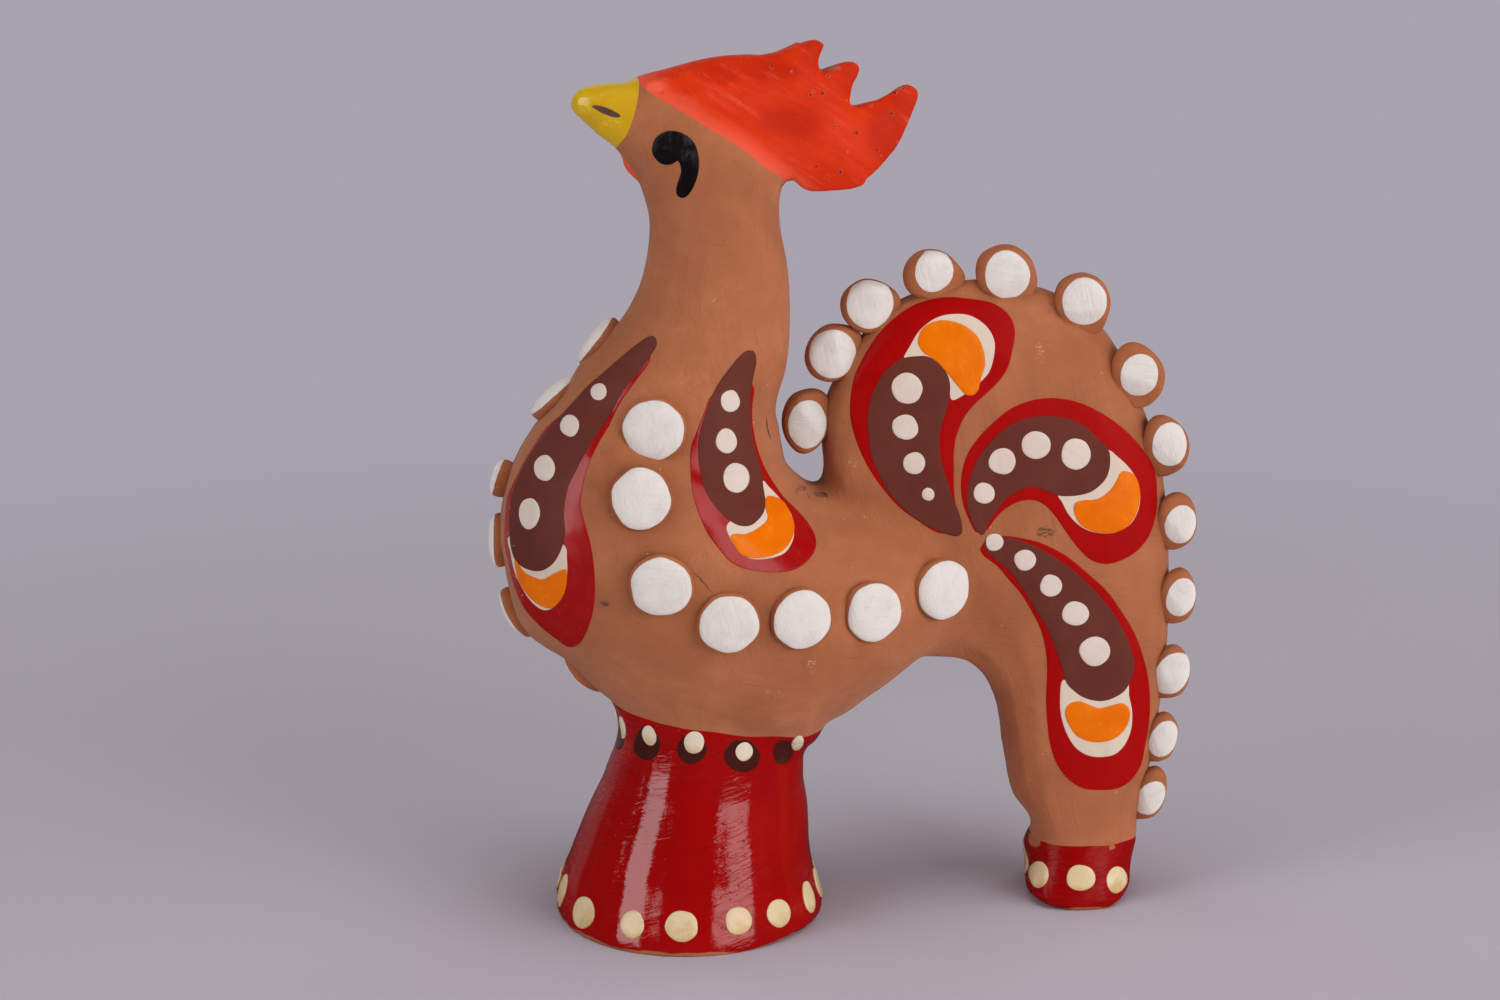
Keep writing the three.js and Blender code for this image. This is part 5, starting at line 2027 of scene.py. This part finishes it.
TAIL_MIDDLE = Plume(
    red=[
        (976, 532), (970, 522), (964, 507), (961, 490), (962, 472), (968, 453), (980, 436), (995, 421),
        (1012, 408), (1033, 400), (1053, 398), (1074, 401), (1094, 409), (1115, 422), (1132, 437),
        (1147, 455), (1155, 472), (1157, 493), (1156, 513), (1150, 534), (1138, 550), (1122, 560),
        (1106, 564), (1091, 560), (1078, 548), (1066, 532), (1055, 516), (1043, 504), (1031, 500),
        (1018, 502), (1005, 509), (995, 519), (986, 531),
    ],
    white=[
        (1106, 450), (1119, 458), (1130, 469), (1137, 481), (1140, 496), (1137, 513), (1128, 526),
        (1112, 533), (1094, 532), (1080, 526), (1069, 515), (1062, 502), (1059, 494), (1080, 484),
        (1098, 470),
    ],
    brown=[
        (980, 534), (973, 525), (968, 510), (967, 493), (970, 478), (977, 460), (990, 443), (1006, 428),
        (1024, 419), (1044, 416), (1065, 418), (1083, 425), (1096, 437), (1108, 449), (1110, 463),
        (1106, 478), (1094, 490), (1080, 495), (1062, 496), (1049, 492), (1033, 487), (1018, 491),
        (1005, 500), (995, 513), (987, 526), (984, 534),
    ],
    orange=[
        (1125, 471), (1134, 475), (1139, 487), (1139, 502), (1135, 516), (1125, 528), (1109, 533),
        (1093, 531), (1081, 525), (1074, 513), (1075, 503), (1084, 500), (1097, 499), (1109, 491),
        (1116, 481), (1120, 473),
    ],
    dots=[(984, 493, 10.5, 10.5), (1002, 461, 13.5, 13), (1036, 445, 14.5, 14), (1076, 454, 14.5, 15.5)],
)

TAIL_LOW = Plume(
    red=[
        (981, 547), (983, 555), (997, 566), (1009, 580), (1021, 594), (1032, 612), (1041, 631), (1046, 653),
        (1047, 674), (1046, 697), (1047, 720), (1050, 744), (1057, 764), (1068, 779), (1082, 788),
        (1097, 790), (1115, 789), (1129, 782), (1140, 767), (1145, 747), (1149, 723), (1150, 700),
        (1148, 676), (1142, 653), (1134, 632), (1120, 609), (1106, 590), (1085, 571), (1065, 555),
        (1041, 543), (1021, 538), (1006, 536), (991, 537),
    ],
    white=[
        (1063, 680), (1060, 697), (1061, 715), (1066, 732), (1075, 747), (1087, 755), (1101, 757),
        (1115, 754), (1125, 744), (1131, 729), (1132, 712), (1129, 696), (1127, 682), (1112, 690),
        (1097, 693), (1078, 687),
    ],
    brown=[
        (984, 543), (990, 536), (1006, 537), (1024, 542), (1041, 549), (1062, 562), (1082, 578),
        (1103, 600), (1119, 622), (1129, 644), (1134, 662), (1132, 676), (1125, 690), (1113, 698),
        (1100, 701), (1085, 698), (1074, 691), (1066, 682), (1062, 668), (1056, 650), (1049, 632),
        (1037, 612), (1024, 591), (1009, 571), (994, 558), (986, 550),
    ],
    orange=[
        (1065, 712), (1069, 704), (1079, 701), (1090, 705), (1100, 708), (1112, 705), (1122, 703),
        (1129, 709), (1129, 719), (1123, 731), (1113, 739), (1101, 742), (1088, 741), (1076, 735),
        (1068, 723),
    ],
    dots=[
        (994.5, 542, 9, 9), (1025, 560, 11, 10.5), (1051, 585.5, 11, 11), (1075.5, 613.5, 13, 12),
        (1094.5, 651, 15.5, 14.5),
    ],
)


class Side(Enum):
    """A side of the figure, and whether its paint mirrors that of the side seen first."""

    NEAR = ("left", False)
    FAR = ("right", True)

    def __init__(self, label: str, mirrored: bool) -> None:
        """Names what a side's row holds."""
        self.label, self.mirrored = label, mirrored


@dataclass(frozen=True)
class Ring:
    """A ring of dabs round the stem.

    Attributes:
        coat: Their coat.
        hidden: Number of dabs behind, out of view.
        half: Half width and half height of those, in millimetres.
        dabs: Middles, half sizes and tilts of the dabs that are in view.
    """

    coat: Coat
    hidden: int
    half: Spot
    dabs: tuple[Dab, ...]


@dataclass
class PaintWork:
    """Every film of paint on the figure, laid coat by coat.

    Attributes:
        view: The viewpoint that outlines are drawn from.
        skin: The clay skin that they lie on.
        finishes: The finishes.
        stem: The x of the stem's axis.
        slim: Share of its height below which a dab's width shows that it turns away.
        breast: The plumes of the breast.
        tail: The plumes of the tail.
        eye_line: Outline of an eye.
        nostril_line: Outline of a nostril.
        skirt_dots: The dots along the skirt.
        collar_dots: Those under its collar.
        collar_blobs: The blobs below these.
        sole_dots: Middles, half sizes and tilts of the dots on the tail's foot.
        sole_half: Half width and half height of one more at its outer end, in millimetres.
        sole_high: Height of that one.
    """

    view: Viewpoint
    skin: BVHTree
    finishes: Finishes
    stem: float
    slim: float = 0.45
    breast: tuple[Plume, ...] = (BREAST_FRONT, BREAST_BACK)
    tail: tuple[Plume, ...] = (TAIL_HIGH, TAIL_MIDDLE, TAIL_LOW)
    eye_line: tuple[Spot, ...] = (
        (652, 150), (655, 139), (664, 132), (674, 131), (684, 134), (693, 141), (698, 153), (699, 167),
        (696, 181), (690, 193), (683, 198), (677, 195), (676.5, 187), (680, 176), (681, 168.5),
        (678, 161), (671, 164.5), (662, 164), (655, 158),
    )
    nostril_line: tuple[Spot, ...] = (
        (592, 106), (599, 105.5), (611, 109.5), (620.5, 115.5), (616, 117.5), (605.5, 114.5), (596, 109.5),
    )
    skirt_dots: Ring = Ring(Coat.DROP, 10, (2.5, 2.8), (
        (562.3, 890.5, 4.8, 17.5, 4), (584, 912.6, 10.8, 16, 0), (632.3, 924.5, 11.7, 13.9, 0),
        (681.5, 926.7, 16.9, 16.0, 0), (738.6, 920.9, 13.4, 14.5, 0), (778.5, 913, 11.7, 14.2, 0),
        (809, 896.8, 7.2, 16.3, -8),
    ))
    collar_dots: Ring = Ring(Coat.DROP, 6, (1.7, 1.9), (
        (623, 727.2, 4.4, 12, -6), (649.4, 735.5, 6.5, 10.4, -14), (694.1, 742.4, 10, 11, 0),
        (744, 751.5, 8.7, 9.6, 0), (797.5, 743, 5.2, 8.0, 32),
    ))
    collar_blobs: Ring = Ring(Coat.BLOB, 6, (2.7, 3.0), (
        (620.5, 737, 4.5, 13, 0), (646.8, 743.5, 13.4, 17, 0), (692, 748.5, 15, 15.5, 0),
        (742.2, 755.8, 18, 16.5, 0), (783, 752, 10, 12.5, 15),
    ))
    sole_dots: tuple[Dab, ...] = (
        (1038.9, 874.5, 10, 13.5, 0), (1080.9, 878, 14.4, 13, 0), (1116.6, 879.5, 10, 13.5, 12),
    )
    sole_half: Spot = (1.9, 2.3)
    sole_high: float = 0.0052

    def rays(self, side: Side) -> PictureRays:
        """Returns the rays that carry outlines onto a side."""
        return PictureRays(self.view, self.skin, side.mirrored)

    def plumes(self, films: Films, plumes: Sequence[Plume], where: str, side: Side) -> None:
        """Paints a set of plumes on one side, coat by coat."""
        rays = self.rays(side)
        for coat in (Coat.RED, Coat.WHITE, Coat.BROWN, Coat.ORANGE, Coat.DOTS):
            paint = "tail_red" if (where, coat) == ("tail", Coat.RED) else f"plume_{coat.label}"
            laid = [films.lay(line, rays, coat) for p in plumes for line in p.outlines(coat)]
            slot = "plume_white" if coat is Coat.DOTS else f"plume_{coat.label}"
            name = f"{where}_plumes_{coat.label}_{side.label}"
            films.piece(name, laid, coat, self.finishes.paint[paint], slot)

    def face(self, films: Films, side: Side) -> None:
        """Paints an eye and a nostril."""
        lines = {"eye_black": (Coat.EYE, self.eye_line), "nostril_brown": (Coat.NOSTRIL, self.nostril_line)}
        for slot, (coat, line) in lines.items():
            film = films.lay(line, self.rays(side), coat)
            films.piece(f"{coat.label}_{side.label}", [film], coat, self.finishes.paint[slot], slot)

    def patch(self, angle: float, height: float, middle: Vector) -> PatchRays:
        """Returns the rays onto the skin at an angle round an upright axis and a height."""
        out = Vector((math.cos(angle), math.sin(angle), 0))
        start = Vector((middle.x, middle.y, height)) + out * 0.05
        place, normal, _, _ = self.skin.ray_cast(start, -out)
        return PatchRays(place, normal, self.skin)

    def ring(self, films: Films, ring: Ring) -> list[Draft]:
        """Lays a ring of dabs round the stem: those in view as drawn, the others evenly behind.

        One that looks slim because it turns away is laid round, so that it isn't drawn out.

        Args:
            films: What lays them.
            ring: The ring.

        Returns:
            The films.
        """
        rays = self.rays(Side.NEAR)
        axis = Vector((self.stem, 0, 0))
        wide, tall = ring.half
        laid = []
        for u, v, a, b, tilt in ring.dabs:
            if a > self.slim * b:
                laid.append(films.lay(oval((u, v), (a, b), tilt, u), rays, ring.coat))
                continue
            at = rays.touch((u, v)) - axis
            patch = self.patch(math.atan2(at.y, at.x), at.z, axis)
            laid.append(films.lay(oval((0, 0), (wide, b * self.view.scale()), 0, u), patch, ring.coat))
        ends = [rays.touch(ring.dabs[k][:2]) - axis for k in (-1, 0)]
        start, stop = (math.atan2(e.y, e.x) for e in ends)
        span = (stop - start) % (2 * math.pi)
        for i in range(ring.hidden):
            t = (i + 1) / (ring.hidden + 1)
            height = ends[0].z + (ends[1].z - ends[0].z) * t
            patch = self.patch(start + span * t, height, axis)
            size = 1 + 0.12 * noise.noise(Vector((i * 1.7, 3.0, wide)))
            laid.append(films.lay(oval((0, 0), (wide * size, tall), 0, i), patch, ring.coat))
        return laid

    def borders(self, films: Films) -> None:
        """Paints the borders of dots on the pedestal and the tail's foot."""
        cream, pale = self.finishes.dot_cream, self.finishes.dot_pale
        rings = (
            ("collar_blobs", self.collar_blobs, self.finishes.paint["blob_brown"], "plume_brown"),
            ("collar_dots", self.collar_dots, pale, "dot_cream"),
            ("skirt_dots", self.skirt_dots, cream, "dot_cream"),
        )
        for name, ring, material, slot in rings:
            films.piece(name, self.ring(films, ring), ring.coat, material, slot)
        sole = [
            films.lay(oval((u, v), (a, b), tilt, u), self.rays(side), Coat.DROP)
            for side in Side for u, v, a, b, tilt in self.sole_dots
        ]
        low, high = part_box("tail_foot")
        patch = self.patch(0.0, self.sole_high, (low + high) / 2)
        sole.append(films.lay(oval((0, 0), self.sole_half), patch, Coat.DROP))
        films.piece("sole_dots", sole, Coat.DROP, cream, "dot_cream")

    def build(self) -> None:
        """Paints the figure."""
        films = Films()
        self.borders(films)
        for side in Side:
            self.plumes(films, self.breast, "breast", side)
            self.plumes(films, self.tail, "tail", side)
            self.face(films, side)


# Stage.


@dataclass(frozen=True)
class Lamp:
    """A soft box that looks at the figure.

    Attributes:
        name: Its name.
        azimuth: Degrees round from the front, towards the tail.
        elevation: Degrees above the horizon.
        distance: Metres from the figure.
        size: Width and height of its face.
        power: Watts.
        mirrored: Whether glossy paint shows it.
        aim: Height that it looks at.
    """

    name: str
    azimuth: float
    elevation: float
    distance: float
    size: Spot
    power: float
    mirrored: bool = True
    aim: float = 0.07

    def hang(self) -> None:
        """Hangs it in the scene."""
        data = bpy.data.lights.new(self.name, "AREA")
        data.shape = "RECTANGLE"
        data.size, data.size_y = self.size
        data.energy = self.power
        lamp = linked(self.name, data)
        lamp.visible_glossy = self.mirrored
        out = outward(self.azimuth, self.elevation)
        lamp.location = out * self.distance + Vector((0, 0, self.aim))
        lamp.rotation_euler = out.to_track_quat("Z", "Y").to_euler()


@dataclass
class Stage:
    """A plain pale floor and soft studio light.

    Attributes:
        reach: Radius of the floor.
        floor: Its colour.
        smudge: Colour of the faint clouds on it.
        fade: Distances between which the floor fades into the backdrop, in millimetres.
        backdrop: Colour of the backdrop, which only the viewer sees.
        bounce_floor: Colour of the light that it throws back.
        gloss_floor: Colour of the floor in reflections, before the figure and behind it.
        gloss_from: Where the one begins to pass into the other and where that ends, in millimetres.
        sky: Colour of the light all round.
        sky_strength: Strength of that light.
        sky_gloss: Its strength in reflections, before the figure, as in a dark studio, and behind it.
        behind: How far back a reflection looks where the one passes into the other.
        lamps: The soft boxes.
    """

    reach: float = 4.0
    floor: Colour = (0.52, 0.475, 0.54)
    smudge: Colour = (0.3, 0.3, 0.3)
    fade: Spot = (110.0, 480.0)
    backdrop: Colour = (0.395, 0.364, 0.418)
    bounce_floor: Colour = (0.84, 0.80, 0.84)
    gloss_floor: tuple[Colour, Colour] = ((0.06, 0.055, 0.06), (0.30, 0.27, 0.30))
    gloss_from: Spot = (40.0, 220.0)
    sky: Colour = (1.0, 0.98, 1.0)
    sky_strength: float = 0.13
    sky_gloss: Spot = (0.03, 0.42)
    behind: Spot = (0.55, 0.95)
    lamps: tuple[Lamp, ...] = (
        Lamp("key", 56, 9, 0.95, (0.8, 0.5), 4.9, mirrored=False),
        Lamp("strip_right", 31, 19, 0.95, (0.46, 0.8), 2.5),
        Lamp("strip_left", -66, 19, 0.95, (0.46, 0.8), 3.15),
        Lamp("rim_right", 132, 24, 1.1, (0.16, 0.8), 0.6),
        Lamp("rim_left", -142, 24, 1.1, (0.16, 0.8), 0.6, mirrored=False),
        Lamp("top", 0, 84, 1.1, (0.8, 0.8), 4.8, mirrored=False),
    )

    def ground(self) -> None:
        """Lays the floor."""
        bm = bmesh.new()
        bmesh.ops.create_circle(bm, cap_ends=True, segments=96, radius=self.reach)
        shader = Shader("floor_paper")
        cloud = shader.span(shader.noise(0.004, 2.0), 0.3, 0.7, 0.0, 0.02)
        tint = shader.blend(cloud, self.floor, self.smudge)
        tint = shader.blend(shader.ray(Ray.DIFFUSE), tint, self.bounce_floor)
        mirrored = shader.blend(shader.span(shader.height("Y"), *self.gloss_from), *self.gloss_floor)
        tint = shader.blend(shader.ray(Ray.GLOSSY), tint, mirrored)
        far = shader.times(shader.span(shader.away_from_middle(), *self.fade), shader.ray(Ray.CAMERA))
        tint = shader.blend(far, tint, (0.0, 0.0, 0.0))
        shader.glow(self.backdrop, far)
        material = shader.finish(tint, 0.9, shader.bump(shader.noise(0.8, 2.0), 0.004), specular=0.0)
        new_object("floor", finished("floor", bm), material)

    def light(self) -> None:
        """Lights the scene."""
        world = bpy.data.worlds.new("studio")
        bpy.context.scene.world = world
        world.use_nodes = True
        nodes = Nodes(world.node_tree)
        sky = nodes.tree.nodes["Background"]
        seen = nodes.ray(Ray.CAMERA)
        back = nodes.axis(nodes.node("TexCoord").outputs["Generated"], "Y")
        gloss = nodes.span(back, *self.behind, *self.sky_gloss, straight=True)
        level = nodes.span(nodes.ray(Ray.GLOSSY), 0.0, 1.0, self.sky_strength, gloss, straight=True)
        nodes.feed(sky.inputs["Color"], nodes.blend(seen, self.sky, self.backdrop))
        nodes.feed(sky.inputs["Strength"], nodes.span(seen, 0.0, 1.0, level, 1.0, straight=True))
        for lamp in self.lamps:
            lamp.hang()

    def build(self) -> None:
        """Sets the stage."""
        self.ground()
        self.light()
        bpy.context.scene.view_settings.view_transform = "Standard"


def main() -> None:
    """Builds the figure, piece by piece, and its stage."""
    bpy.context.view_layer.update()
    low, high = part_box("pedestal")
    stem = (low.x + high.x) / 2
    finishes = Finishes()
    view = Viewpoint(stem)
    view.camera()
    skin = ClaySkin(view, stem, CombPlate(view, stem), Borders(stem))
    skin.build(finishes)
    Pellets(view).build(finishes)
    PaintWork(view, skin.tree, finishes, stem).build()
    Stage().build()


if __name__ == "__main__":
    main()
